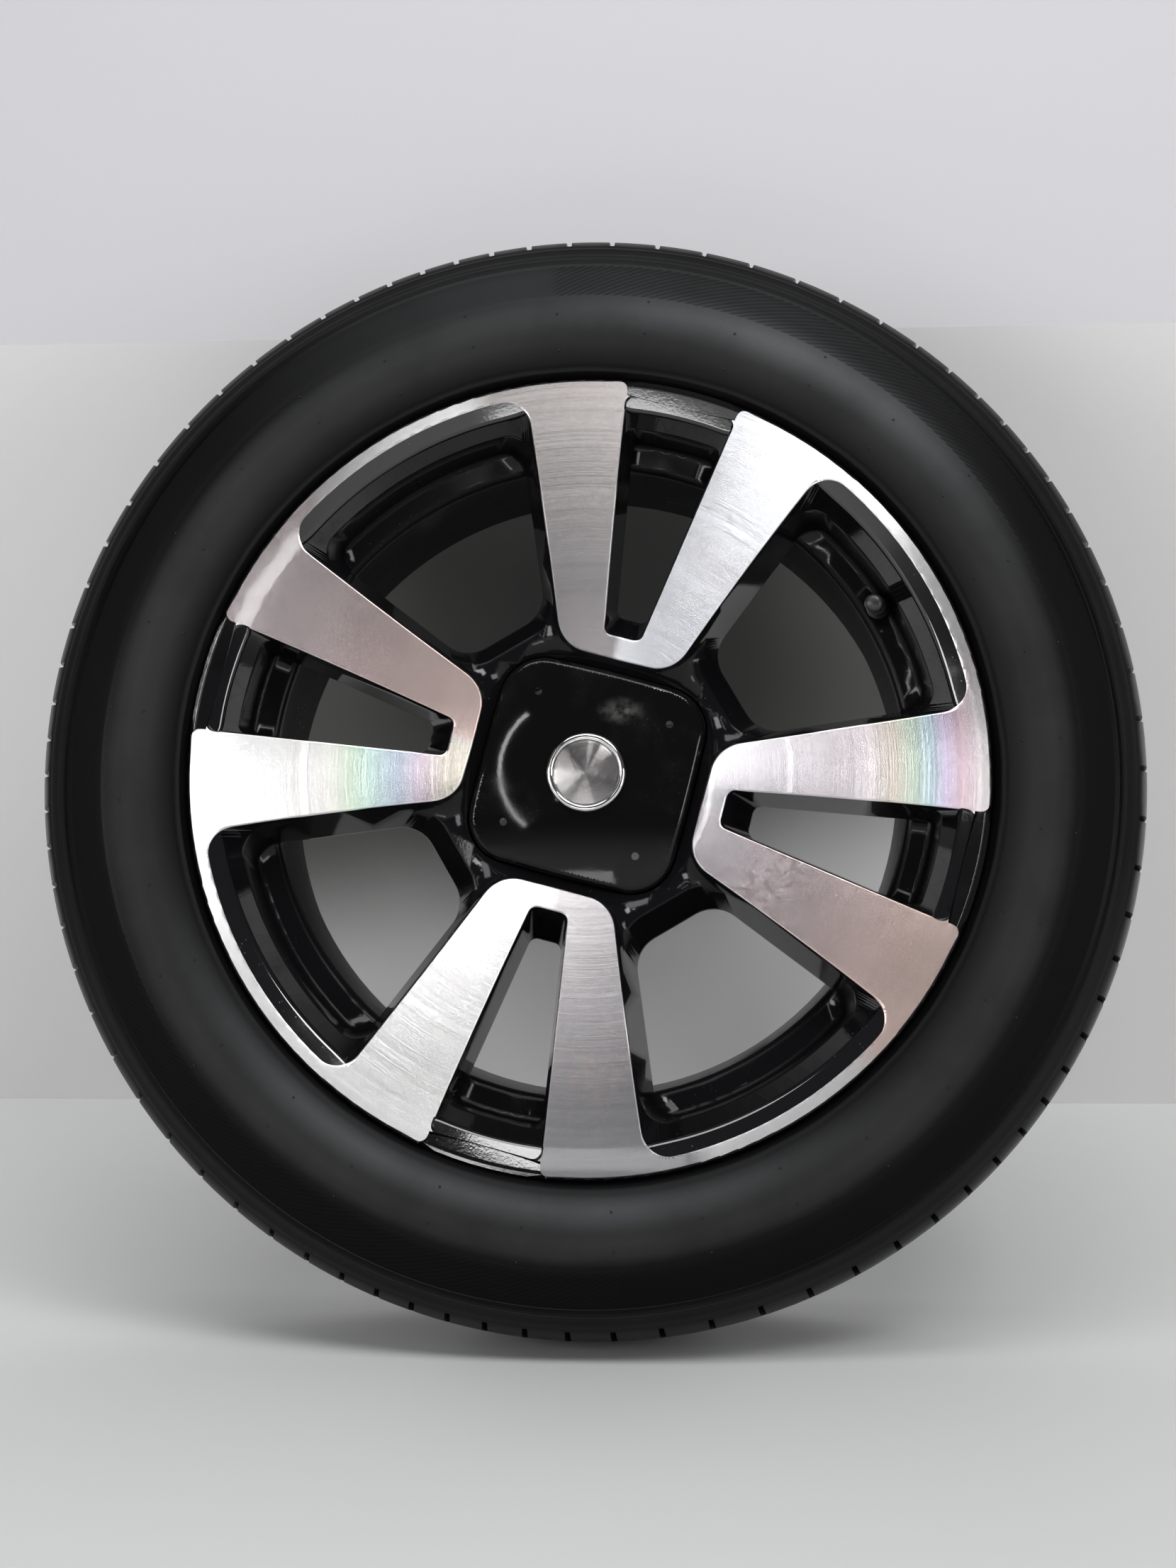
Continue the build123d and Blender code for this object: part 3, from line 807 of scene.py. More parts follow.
@dataclass(frozen=True)
class StagePaint:
    """Plain pale matt stage surface with a clear back.

    A shaded one darkens behind the wheel and lets the lamps that stand behind it shine through.
    """

    name: str
    colour: Colour
    shaded: bool = False
    shade: Colour = (0.13, 0.13, 0.125)
    shade_ring: Range = (330.0 * MM, 264.0 * MM)
    shade_rise: Range = (-100.0 * MM, 50.0 * MM)
    shade_slant: float = 0.2
    roughness: float = 0.85
    specular: float = 0.2

    def build(self) -> bpy.types.Material:
        """Makes the surface's paint.

        Returns:
            The material.
        """
        sheet = Sheet(self.name)
        colour: Any = rgb(self.colour)
        back = sheet.signal(sheet.add("ShaderNodeNewGeometry"), "Backfacing")
        if self.shaded:
            x, _, z = sheet.axes(sheet.place())
            behind = x.hypot(z).step(*self.shade_ring) * (z - x * self.shade_slant).step(*self.shade_rise)
            colour = sheet.mix(behind, self.colour, self.shade)
            shadow_ray = sheet.signal(sheet.add("ShaderNodeLightPath"), "Is Shadow Ray")
            back = back.math("MAXIMUM", back, shadow_ray)
        matt = {"Roughness": self.roughness, "Specular_IOR_Level": self.specular}
        paint = sheet.principled(Base_Color=colour, **matt)
        surface = sheet.output.inputs["Surface"].links[0].from_socket
        clear = sheet.signal(sheet.add("ShaderNodeBsdfTransparent"))
        blend = sheet.add("ShaderNodeMixShader", None, {0: back, 1: Signal(sheet, surface), 2: clear})
        sheet.tree.links.new(blend.outputs[0], sheet.output.inputs["Surface"])
        return paint


class MeshBench:
    """Makes mesh objects, dresses them and sets them on their bodies."""

    MERGE = 2.0e-6
    SLIVER = 1.0e-6
    POLE = 1.0e-7

    @staticmethod
    def from_grid(name: str, points: np.ndarray, wrap_rows: bool, sharp_angle: float) -> bpy.types.Object:
        """Quads over a grid of points whose last column joins the first.

        Args:
            name: The object's name.
            points: Array of rows, columns and coordinates.
            wrap_rows: Whether the last row joins the first too.
            sharp_angle: Edges that turn more than this, in degrees, shade sharp.

        Returns:
            The new object.
        """
        rows, columns = points.shape[:2]
        index = np.arange(rows * columns).reshape(rows, columns)
        top, down = (index, np.roll(index, -1, 0)) if wrap_rows else (index[:-1], index[1:])
        quads = np.stack([top, down, np.roll(down, -1, 1), np.roll(top, -1, 1)], -1).reshape(-1, 4)
        return MeshBench.from_faces(name, points.reshape(-1, 3), quads, sharp_angle)

    @staticmethod
    def from_faces(name: str, points: np.ndarray, faces: np.ndarray, sharp_angle: float) -> bpy.types.Object:
        """A mesh object from points and equal-sided faces.

        Args:
            name: The object's name.
            points: Coordinates, one row a point.
            faces: Point numbers, one row a face.
            sharp_angle: Edges that turn more than this, in degrees, shade sharp.

        Returns:
            The new object.
        """
        mesh = bpy.data.meshes.new(name)
        corners = faces.shape[1]
        mesh.vertices.add(len(points))
        mesh.vertices.foreach_set("co", points.astype(np.float32).ravel())
        mesh.loops.add(faces.size)
        mesh.loops.foreach_set("vertex_index", faces.astype(np.int32).ravel())
        mesh.polygons.add(len(faces))
        mesh.polygons.foreach_set("loop_start", np.arange(0, faces.size, corners, dtype=np.int32))
        mesh.update(calc_edges=True)
        mesh.validate()
        return MeshBench._link(name, mesh, sharp_angle)

    @staticmethod
    def close_poles(piece: bpy.types.Object) -> None:
        """Merges the points of a grid that meet at its poles.

        Args:
            piece: The object.
        """
        shape = bmesh.new()
        shape.from_mesh(piece.data)
        bmesh.ops.remove_doubles(shape, verts=shape.verts, dist=MeshBench.POLE)
        shape.to_mesh(piece.data)
        shape.free()

    @staticmethod
    def merged_copy(node: str, name: str, sharp_angle: float) -> bpy.types.Object:
        """A CAD node's triangles with their corners merged and smooth shading.

        Args:
            node: The CAD node.
            name: The new object's name.
            sharp_angle: Edges that turn more than this, in degrees, shade sharp.

        Returns:
            The new object.
        """
        mesh = bpy.data.meshes.new(name)
        shape = bmesh.new()
        shape.from_mesh(frame["nodes"][node].data)
        bmesh.ops.remove_doubles(shape, verts=shape.verts, dist=MeshBench.MERGE)
        bmesh.ops.dissolve_degenerate(shape, edges=shape.edges, dist=MeshBench.SLIVER)
        shape.to_mesh(mesh)
        shape.free()
        return MeshBench._link(name, mesh, sharp_angle)

    @staticmethod
    def _link(name: str, mesh: bpy.types.Mesh, sharp_angle: float) -> bpy.types.Object:
        """Shades a mesh smooth up to an angle and puts it in the scene.

        Args:
            name: The object's name.
            mesh: Its mesh.
            sharp_angle: Edges that turn more than this, in degrees, shade sharp.

        Returns:
            The new object.
        """
        mesh.shade_smooth()
        mesh.set_sharp_from_angle(angle=math.radians(sharp_angle))
        piece = bpy.data.objects.new(name, mesh)
        bpy.context.scene.collection.objects.link(piece)
        return piece

    @staticmethod
    def dress(
        piece: bpy.types.Object,
        finishes: Iterable[bpy.types.Material],
        body: Body,
        slot: Slot,
        nodes: Sequence[str] = (),
    ) -> None:
        """Gives a piece its materials and body, and hides the nodes it stands for.

        Args:
            piece: The object.
            finishes: Its materials, in slot order.
            body: The body it rides on.
            slot: The record's material slot; not used.
            nodes: CAD nodes that it replaces.
        """
        piece.data.materials.clear()
        for finish in finishes:
            piece.data.materials.append(finish)
        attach(piece, body.value)
        if nodes:
            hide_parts(*nodes)
        LOG.info("%s: %d faces", piece.name, len(piece.data.polygons))


def read_rows(rows: bpy.types.bpy_prop_collection, value: str) -> np.ndarray:
    """A vector of each vertex or polygon of a mesh.

    Args:
        rows: The mesh's vertices or polygons.
        value: The vector's name.

    Returns:
        Array with a row for each.
    """
    flat = np.empty(len(rows) * 3)
    rows.foreach_get(value, flat)
    return flat.reshape(-1, 3)


def set_true_normals(mesh: bpy.types.Mesh, chosen: np.ndarray, true_normal: NormalRule) -> None:
    """Gives the corners of chosen polygons the normals of the surface that they lie on.

    Args:
        mesh: The mesh, all triangles.
        chosen: One truth value a polygon.
        true_normal: Rule that gives unit normals at points.
    """
    corner_points = np.empty(len(mesh.loops), dtype=np.int32)
    mesh.loops.foreach_get("vertex_index", corner_points)
    totals = np.empty(len(mesh.polygons), dtype=np.int32)
    mesh.polygons.foreach_get("loop_total", totals)
    corners = np.repeat(chosen, totals)
    normals = np.zeros((len(mesh.loops), 3))
    normals[corners] = true_normal(read_rows(mesh.vertices, "co")[corner_points[corners]])
    mesh.normals_split_custom_set(normals.tolist())


@dataclass
class AlloyWheel:
    """Cast wheel: bright turned faces on the spokes and lip, gloss black elsewhere."""

    flat_radius: float = 205.0 * MM
    dish_depth: float = 17.5 * MM
    dish_foot: float = 66.5 * MM
    bevel: float = 0.8 * MM
    flat_depth: float = 0.2 * MM
    turned_foot: float = 64.5 * MM
    turned_edge: float = 220.2 * MM
    lip_foot: float = 198.5 * MM
    lip_reach: float = 16.0 * MM
    lip_depth: float = 12.0 * MM
    barrel_radius: float = 165.0 * MM
    slot_clock: float = -14.8
    slot_pitch: float = 90.0
    slot_reach: float = 9.4
    corner_foot: float = 204.0 * MM
    corner_depth: float = 0.1 * MM
    facing_turned: float = -0.45
    facing_true: float = -0.93
    facing_lip: float = -0.3
    facing_barrel: float = -0.3
    sharp_angle: float = 28.0
    face: float = field(init=False)
    sweep: float = field(init=False)

    def __post_init__(self) -> None:
        """Works out the face's place from the frame and the dish's radius from its depth."""
        self.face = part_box("alloy_wheel")[0].y
        run = self.flat_radius - self.dish_foot
        self.sweep = (run**2 + self.dish_depth**2) / (2 * self.dish_depth)

    def profile(self, radius: np.ndarray) -> np.ndarray:
        """Axial place of the turned face: flat outside, a wide arc that falls towards the hub inside."""
        inside = np.clip(self.flat_radius - radius, 0.0, None)
        return self.face + self.sweep - np.sqrt(self.sweep**2 - inside**2)

    def true_normal(self, points: np.ndarray) -> np.ndarray:
        """Unit normals of the turned face: outboard, leaning in towards the hub on the arc.

        Args:
            points: Places on the face.

        Returns:
            One normal a row.
        """
        radius = np.hypot(points[:, 0], points[:, 2])
        lean = -np.clip(self.flat_radius - radius, 0.0, None) / self.sweep
        around = points[:, [0, 2]] / radius[:, None] * lean[:, None]
        return np.stack([around[:, 0], -np.sqrt(1 - lean**2), around[:, 1]], -1)

    def build(self) -> None:
        """Makes the wheel from its solid and splits its faces between four finishes."""
        wheel = MeshBench.merged_copy("alloy_wheel", "alloy_wheel_finished", self.sharp_angle)
        centres, normals = (read_rows(wheel.data.polygons, value) for value in ("center", "normal"))
        radius = np.hypot(centres[:, 0], centres[:, 2])
        depth = centres[:, 1] - self.profile(radius)
        outboard = normals[:, 1]
        inward = (normals[:, 0] * centres[:, 0] + normals[:, 2] * centres[:, 2]) / radius
        turned = (depth < self.bevel) & (radius > self.turned_foot) & (radius < self.turned_edge)
        turned &= (outboard < self.facing_turned) & ~self._slot_corners(centres, radius, depth)
        lip = (radius > self.lip_foot) & (radius < self.flat_radius + self.lip_reach)
        lip &= (outboard < self.facing_lip) & (depth > self.bevel) & (depth < self.lip_depth)
        barrel = (radius > self.barrel_radius) & (depth > self.lip_depth) & (inward < self.facing_barrel)
        barrel_paint = GlossBlackPaint("barrel_black", roughness=0.22, specular=0.10)
        paints = (GlossBlackPaint(), TurnedAluminium(), LipBlackPaint(), barrel_paint)
        finishes = [paint.build() for paint in paints]
        MeshBench.dress(wheel, finishes, Body.WHEEL, Slot.ALLOY, ["alloy_wheel"])
        number = np.select([turned, lip, barrel], [1, 2, 3], 0).astype(np.int32)
        wheel.data.polygons.foreach_set("material_index", number)
        flat = turned & (depth < self.flat_depth) & (outboard < self.facing_true)
        set_true_normals(wheel.data, flat, self.true_normal)

    def _slot_corners(self, centres: np.ndarray, radius: np.ndarray, depth: np.ndarray) -> np.ndarray:
        """Picks the small blended faces where a spoke's edge runs into a slot's lip.

        Args:
            centres: The middles of the faces.
            radius: Their distances from the axis.
            depth: Their depths behind the turned face.

        Returns:
            One truth value a face.
        """
        angle = np.degrees(np.arctan2(centres[:, 2], centres[:, 0])) - self.slot_clock
        half = self.slot_pitch / 2
        apart = abs((angle + half) % self.slot_pitch - half)
        return (apart < self.slot_reach) & (radius > self.corner_foot) & (depth > self.corner_depth)


def tangent_arc(start: Range, heading: Range, end: Range, count: int) -> np.ndarray:
    """Points on the arc that leaves a point along a heading and ends at another point.

    The centre lies on the start's normal, at the chord's square over twice the end's side step.

    Args:
        start: First point.
        heading: Direction there.
        end: Last point.
        count: How many points, ends included.

    Returns:
        Array of points.
    """
    first, last = np.array(start, float), np.array(end, float)
    along = np.array(heading, float) / np.hypot(*heading)
    side = np.array([-along[1], along[0]])
    chord = last - first
    radius = chord @ chord / (2 * (chord @ side))
    turn = 2 * math.atan2(chord @ side, chord @ along)
    steps = np.linspace(0.0, turn, count)[:, None]
    return first + side * radius * (1 - np.cos(steps)) + along * radius * np.sin(steps)


@dataclass
class Tyre:
    """Radial tyre: ringed sidewalls, four grooves, shoulder notches and slanted rib cuts."""

    radius: float = 320.0 * MM
    half_width: float = 99.9 * MM
    widest_radius: float = 262.0 * MM
    tread_half: float = 75.0 * MM
    tread_drop: float = 10.5 * MM
    tread_margin: float = 4.0 * MM
    shoulder: Range = (302.0 * MM, 88.5 * MM)
    shoulder_middle: Range = (306.65 * MM, 82.65 * MM)
    bead_radius: float = 203.0 * MM
    bead_face: float = 82.35 * MM
    toe: float = 63.85 * MM
    curl: Range = (212.5 * MM, 92.05 * MM)
    hug_radius: float = 9.7 * MM
    hug_angle: float = 50.0
    hug_points: int = 6
    rib_foot: float = 226.3 * MM
    rib_top: float = 228.7 * MM
    rib_axial: float = 93.41 * MM
    lower_points: int = 14
    upper_points: int = 34
    liner_crown: float = 305.5 * MM
    liner_edge: Range = (300.25 * MM, 60.0 * MM)
    liner_points: int = 7
    wall: float = 6.5 * MM
    grooves: tuple[Range, ...] = (
        (-46.0 * MM, 8.0 * MM),
        (-17.0 * MM, 10.0 * MM),
        (15.0 * MM, 10.0 * MM),
        (44.0 * MM, 7.0 * MM),
    )
    groove_depth: float = 7.5 * MM
    notch_count: int = 80
    notch_width: float = 3.2 * MM
    notch_floor: float = 303.0 * MM
    notch_start: float = 57.0 * MM
    block_columns: Range = (0.33, 0.67)
    pitch_swing: float = 1.8
    pitch_waves: int = 5
    wall_run: float = 0.35 * MM
    cut_runs: tuple[Range, ...] = (
        (-42.1 * MM, -30.9 * MM),
        (-12.1 * MM, -1.5 * MM),
        (31.2 * MM, 40.6 * MM),
    )
    cut_ends: tuple[float, ...] = (-31.0 * MM, -30.6 * MM, -1.6 * MM, -1.2 * MM, 31.0 * MM, 31.4 * MM)
    rib_rows: tuple[float, ...] = (-39.0 * MM, -24.5 * MM, -9.0 * MM, 7.0 * MM, 22.5 * MM, 38.0 * MM)
    cut_depth: float = 4.5 * MM
    cut_squeeze: float = 0.36
    cut_slant: float = 1.0
    shoulder_rings: tuple[float, ...] = (289.5 * MM, 294.0 * MM, 299.0 * MM)
    ring_foot: float = 0.9 * MM
    ring_top: float = 0.4 * MM
    ring_clear: float = 1.3 * MM
    ring_height: float = 0.45 * MM
    vent_rings: tuple[float, ...] = (238.0 * MM, 248.0 * MM, 258.0 * MM, 266.0 * MM)
    vents_per_ring: int = 16
    vent_sides: int = 6
    vent_radius: float = 0.7 * MM
    vent_height: float = 0.6 * MM
    vent_root: float = 0.3 * MM
    vent_taper: float = 0.75
    vent_clock: float = 0.06
    sharp_angle: float = 32.0
    vent_sharp_angle: float = 40.0

    def crown(self, axial: np.ndarray) -> np.ndarray:
        """Radius of the tread's surface: a shallow parabola across the width."""
        return self.radius - self.tread_drop * (axial / self.tread_half) ** 2

    def sidewall(self) -> np.ndarray:
        """Half section from the bead's toe to the tread's edge.

        A seat, an arc round the rim's flange, a rib, then arcs to the widest point and the shoulder.

        Returns:
            Rows of radius and axial place.
        """
        hug = np.radians(np.linspace(-90.0, self.hug_angle - 90.0, self.hug_points))
        seat = [(self.bead_radius, self.toe), (self.bead_radius, self.bead_face)]
        curl = np.array(self.curl) + self.hug_radius * np.stack([np.cos(hug), np.sin(hug)], -1)
        foot, top = (self.rib_foot, self.rib_axial), (self.rib_top, self.rib_axial)
        widest = (self.widest_radius, self.half_width)
        lower = tangent_arc(widest, (-1, 0), top, self.lower_points)[::-1]
        upper = tangent_arc(widest, (1, 0), self.shoulder, self.upper_points)[1:]
        edge = (self.radius - self.tread_drop, self.tread_half)
        return np.concatenate([seat, curl, [foot], lower, self._ringed(upper), [self.shoulder_middle, edge]])

    def _ringed(self, upper: np.ndarray) -> np.ndarray:
        """Upper sidewall with narrow raised rings: each ring adds a foot, two tops and a foot.

        Args:
            upper: The plain sidewall's rows.

        Returns:
            The rows with the rings' own rows in their places.
        """
        rows = [upper]
        reach = np.array([-self.ring_foot, -self.ring_top, self.ring_top, self.ring_foot])
        lift = np.array([0.0, self.ring_height, self.ring_height, 0.0])
        for ring in self.shoulder_rings:
            axial = np.interp(ring + reach, upper[:, 0], upper[:, 1])
            rows = [part[abs(part[:, 0] - ring) > self.ring_clear] for part in rows]
            rows.append(np.stack([ring + reach, axial + lift], -1))
        joined = np.concatenate(rows)
        return joined[np.argsort(joined[:, 0])]

    def tread(self) -> np.ndarray:
        """Rows across the tread from its one edge to the other: the crown less the grooves' depth.

        Returns:
            Rows of radius and axial place.
        """
        edges = (self.tread_half - self.tread_margin, self.notch_start, self.notch_start + self.wall_run)
        places = [*self.rib_rows, *self.cut_ends, *edges, *(-edge for edge in edges)]
        rows = [(place, 0.0) for place in places]
        slope = self.wall_run * 2
        for place, width in self.grooves:
            half = width / 2
            rows += [(place - half, 0.0), (place - half + slope, 1.0)]
            rows += [(place + half - slope, 1.0), (place + half, 0.0)]
        across = np.array(sorted(rows))
        depth = across[:, 1] * self.groove_depth
        return np.stack([self.crown(across[:, 0]) - depth, across[:, 0]], -1)

    def section(self) -> np.ndarray:
        """Closed section: one sidewall, the tread, the other sidewall and the liner back again.

        Returns:
            Rows of radius and axial place.
        """
        side = self.sidewall()
        widest_inside = (self.widest_radius, self.half_width - self.wall)
        heading = (self.liner_edge[0] - self.liner_crown, self.liner_edge[1])
        inside = tangent_arc(self.liner_edge, heading, widest_inside, self.liner_points)[::-1]
        liner = np.concatenate([[(self.rib_top, self.toe + self.wall)], inside])
        crown = [(self.liner_crown, 0.0)]
        other = (1, -1)
        return np.concatenate([side * other, self.tread(), side[::-1], liner, crown, (liner * other)[::-1]])

    def columns(self) -> tuple[np.ndarray, np.ndarray, np.ndarray]:
        """Columns of the grid: four across each notch and two on the block after it.

        Returns:
            Their angles, their notches' middles, and 1 for each that lies in a notch.
        """
        turn = 2 * math.pi * np.arange(self.notch_count) / self.notch_count
        centre = turn + math.radians(self.pitch_swing) * np.sin(self.pitch_waves * turn)
        half = self.notch_width / 2 / self.notch_floor
        wall = self.wall_run / self.notch_floor
        gap = np.roll(centre, -1) - centre
        gap[-1] += 2 * math.pi
        offsets = [np.full_like(centre, v) for v in (-half, wall - half, half - wall, half)]
        offsets += [half + (gap - 2 * half) * share for share in self.block_columns]
        inside = np.tile([0.0, 1.0, 1.0, 0.0, 0.0, 0.0], self.notch_count)
        angle = (centre[:, None] + np.stack(offsets, -1)).ravel()
        return angle, np.repeat(centre, len(offsets)), inside

    def grid(self) -> np.ndarray:
        """Section carried round the axis, lowered in the notches and in the slanted rib cuts.

        Returns:
            Array of rows, columns and coordinates.
        """
        section = self.section()
        angle, centre, inside = self.columns()
        radial, axial = section[:, :1], section[:, 1:]
        outer = radial > self.notch_floor
        shoulder = outer & (abs(axial) >= self.notch_start)
        on_tread = outer & (abs(axial) < self.notch_start - self.wall_run)
        slanted = math.radians(self.cut_slant) * np.sin(2 * math.pi * axial / self.notch_start)
        in_notch = abs(angle - centre) < self.notch_width / self.notch_floor
        pull = np.where(on_tread & in_notch, self.cut_squeeze, 1.0)
        turned = centre + (angle - centre) * pull + np.where(on_tread, slanted, 0.0)
        in_cut = sum((axial > low) & (axial < high) for low, high in self.cut_runs)
        cut = in_cut * on_tread * self.cut_depth
        lowered = np.where(shoulder, np.minimum(radial, self.notch_floor), radial - cut)
        reach = radial + (lowered - radial) * inside
        points = [reach * np.cos(turned), np.broadcast_to(axial, reach.shape), reach * np.sin(turned)]
        return np.stack(points, -1)

    def vents(self) -> tuple[np.ndarray, np.ndarray]:
        """Moulding pips on both sidewalls: six-sided stubs, in rings, every other ring staggered.

        Returns:
            Points, and faces of four corners.
        """
        side = self.sidewall()
        order = np.argsort(side[:, 0])
        count, sides = self.vents_per_ring, self.vent_sides
        turns = 2 * math.pi * np.arange(count) / count
        corner = 2 * math.pi * np.arange(sides) / sides
        shape = self.vent_radius * np.stack([np.cos(corner), np.sin(corner)], -1)
        step = np.arange(sides)
        after = (step + 1) % sides
        base = sides * np.arange(count)[:, None]
        top = base + sides * count
        walls = np.stack([base + step, base + after, top + after, top + step], -1).reshape(-1, 4)
        stub = np.concatenate([walls, top + [0, 1, 2, 3], top + [0, 3, 4, 5]])
        points, faces = [], []
        for number, ring in enumerate(self.vent_rings):
            axial = np.interp(ring, side[order, 0], side[order, 1])
            around = turns + (number % 2) * math.pi / count + self.vent_clock
            middle = ring * np.stack([np.cos(around), np.sin(around)], -1)
            for way in (-1, 1):
                faces.append(stub[:, ::-way] + len(points) * count * sides)
                for size, height in ((1.0, -self.vent_root), (self.vent_taper, self.vent_height)):
                    flat = middle[:, None] + shape[None] * size
                    depth = np.full(flat.shape[:2], way * (axial + height))
                    points.append(np.stack([flat[..., 0], depth, flat[..., 1]], -1))
        return np.concatenate(points).reshape(-1, 3), np.concatenate(faces)

    def build(self) -> None:
        """Makes the tyre and its moulding pips."""
        tyre = MeshBench.from_grid("tyre_moulded", self.grid(), True, self.sharp_angle)
        MeshBench.dress(tyre, [TyreRubber().build()], Body.WHEEL, Slot.TYRE, ["tyre"])
        pips = MeshBench.from_faces("tyre_vent_pips", *self.vents(), self.vent_sharp_angle)
        black = PlainFinish("vent_pip_black", (0.0015, 0.0015, 0.0015), (0.002, 0.002, 0.002), 0.0, 0.7)
        MeshBench.dress(pips, [black.build()], Body.WHEEL, Slot.TYRE)


@dataclass
class CentreCap:
    """Square domed cap with a plain bright disc and its clip ring."""

    dome_radius: float = 350.0 * MM
    crown: float = -80.25 * MM
    tolerance: float = 0.05 * MM
    facing_dome: float = -0.9
    bead_width: float = 4.2 * MM
    bead_groove: float = 0.5 * MM
    bead_foot: float = 0.9 * MM
    bead_height: float = 1.6 * MM
    disc_points: int = 10
    bead_points: int = 13
    disc_columns: int = 96
    sharp_angle: float = 30.0
    wire_sharp_angle: float = 40.0

    @property
    def centre(self) -> np.ndarray:
        """Middle of the dome's sphere."""
        return np.array([0.0, self.crown + self.dome_radius, 0.0])

    def true_normal(self, points: np.ndarray) -> np.ndarray:
        """Unit normals of the dome, which point away from its middle."""
        away = points - self.centre
        return away / np.linalg.norm(away, axis=1)[:, None]

    def build(self) -> None:
        """Makes the cap, its disc and its ring."""
        cap = MeshBench.merged_copy("centre_cap", "centre_cap_finished", self.sharp_angle)
        MeshBench.dress(cap, [CapGloss().build()], Body.CENTRE_CAP, Slot.CAP_PLASTIC, ["centre_cap"])
        centres, normals = (read_rows(cap.data.polygons, value) for value in ("center", "normal"))
        off = abs(np.linalg.norm(centres - self.centre, axis=1) - self.dome_radius)
        dome = (off < self.tolerance) & (normals[:, 1] < self.facing_dome)
        set_true_normals(cap.data, dome, self.true_normal)
        self._badge()
        steel = PlainFinish("clip_wire", (0.50, 0.50, 0.51), (0.30, 0.29, 0.28), 1.0, 0.28)
        ring = MeshBench.merged_copy("cap_clip_ring", "cap_clip_ring_finished", self.wire_sharp_angle)
        MeshBench.dress(ring, [steel.build()], Body.CENTRE_CAP, Slot.SPRING_STEEL, ["cap_clip_ring"])

    def _badge(self) -> None:
        """Makes the plain disc: a spun dome in a polished bead, turned from one profile."""
        low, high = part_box("cap_badge")
        top, floor, rim = low.y, high.y, high.x
        inner = np.linspace(0.0, rim - self.bead_width, self.disc_points)
        dome = top + (self.crown - top) / 2 * (inner / rim) ** 2
        bend = np.radians(np.linspace(0.0, 180.0, self.bead_points))
        half = self.bead_width / 2 - self.bead_groove / 2
        bead = rim - half - half * np.cos(bend)
        foot = self.crown - self.bead_foot
        groove = rim - 2 * half - self.bead_groove / 2
        radius = np.concatenate([inner, [groove], bead, [rim, 0.0]])[:, None]
        axial = np.concatenate([dome, [foot], foot - self.bead_height * np.sin(bend), [floor, floor]])
        turn = np.linspace(0.0, 2 * math.pi, self.disc_columns, endpoint=False)
        depth = np.repeat(axial[:, None], len(turn), 1)
        points = np.stack([radius * np.cos(turn), depth, radius * np.sin(turn)], -1)
        badge = MeshBench.from_grid("cap_badge_finished", points, False, self.sharp_angle)
        MeshBench.close_poles(badge)
        bead_chrome = PlainFinish("bead_chrome", (0.80, 0.79, 0.785), (0.70, 0.69, 0.68), 1.0, 0.05)
        finishes = [SpunChrome().build(), bead_chrome.build()]
        MeshBench.dress(badge, finishes, Body.CENTRE_CAP, Slot.BADGE_CHROME, ["cap_badge"])
        centres = read_rows(badge.data.polygons, "center")
        outer = np.hypot(centres[:, 0], centres[:, 2]) > rim - self.bead_width
        badge.data.polygons.foreach_set("material_index", outer.astype(np.int32))


@dataclass
class TyreValve:
    """Snap-in valve: rubber body, brass stem and core, fluted cap."""

    sharp_angle: float = 35.0

    def build(self) -> None:
        """Makes every piece of the valve from its solid."""
        rubber = PlainFinish("valve_rubber", (0.016, 0.016, 0.017), (0.03, 0.03, 0.03), 0.0, 0.45).build()
        seal = PlainFinish("seal_rubber", (0.03, 0.029, 0.028), (0.05, 0.05, 0.048), 0.0, 0.5).build()
        brass = PlainFinish("turned_brass", (0.66, 0.50, 0.24), (0.45, 0.33, 0.16), 1.0, 0.25).build()
        steel = PlainFinish("spring_wire", (0.52, 0.52, 0.53), (0.36, 0.35, 0.34), 1.0, 0.25).build()
        plastic = PlainFinish("valve_cap_black", (0.012, 0.012, 0.013), (0.03, 0.03, 0.03), 0.0, 0.3).build()
        pieces = (
            ("valve_body", rubber, Body.WHEEL, Slot.VALVE_RUBBER),
            ("valve_stem", brass, Body.WHEEL, Slot.VALVE_BRASS),
            ("valve_core_housing", brass, Body.WHEEL, Slot.VALVE_BRASS),
            ("valve_core_seal", seal, Body.WHEEL, Slot.SEAL_RUBBER),
            ("valve_spring", steel, Body.WHEEL, Slot.SPRING_STEEL),
            ("valve_pin", brass, Body.VALVE_PIN, Slot.VALVE_BRASS),
            ("valve_cap", plastic, Body.VALVE_CAP, Slot.VALVE_CAP_PLASTIC),
            ("valve_cap_seal", seal, Body.VALVE_CAP_SEAL, Slot.SEAL_RUBBER),
        )
        for node, finish, body, slot in pieces:
            piece = MeshBench.merged_copy(node, f"{node}_finished", self.sharp_angle)
            MeshBench.dress(piece, [finish], body, slot, [node])
            if node == "valve_spring":
                self._follow_pin(piece)

    @staticmethod
    def _follow_pin(spring: bpy.types.Object) -> None:
        """Works out the share of the spring's length left at the pin's full travel and gives the spring its
        own mesh; nothing shortens it.

        Args:
            spring: The spring's mesh, at rest.
        """
        press = next(joint for joint in frame["joints"] if joint["name"] == "pin_press")
        axis = np.array(press["axis"])
        along = read_rows(spring.data.vertices, "co") @ axis
        length = along.max() - along.min()
        keep = float((length - press["range_m"][1]) / length)
        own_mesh(spring)


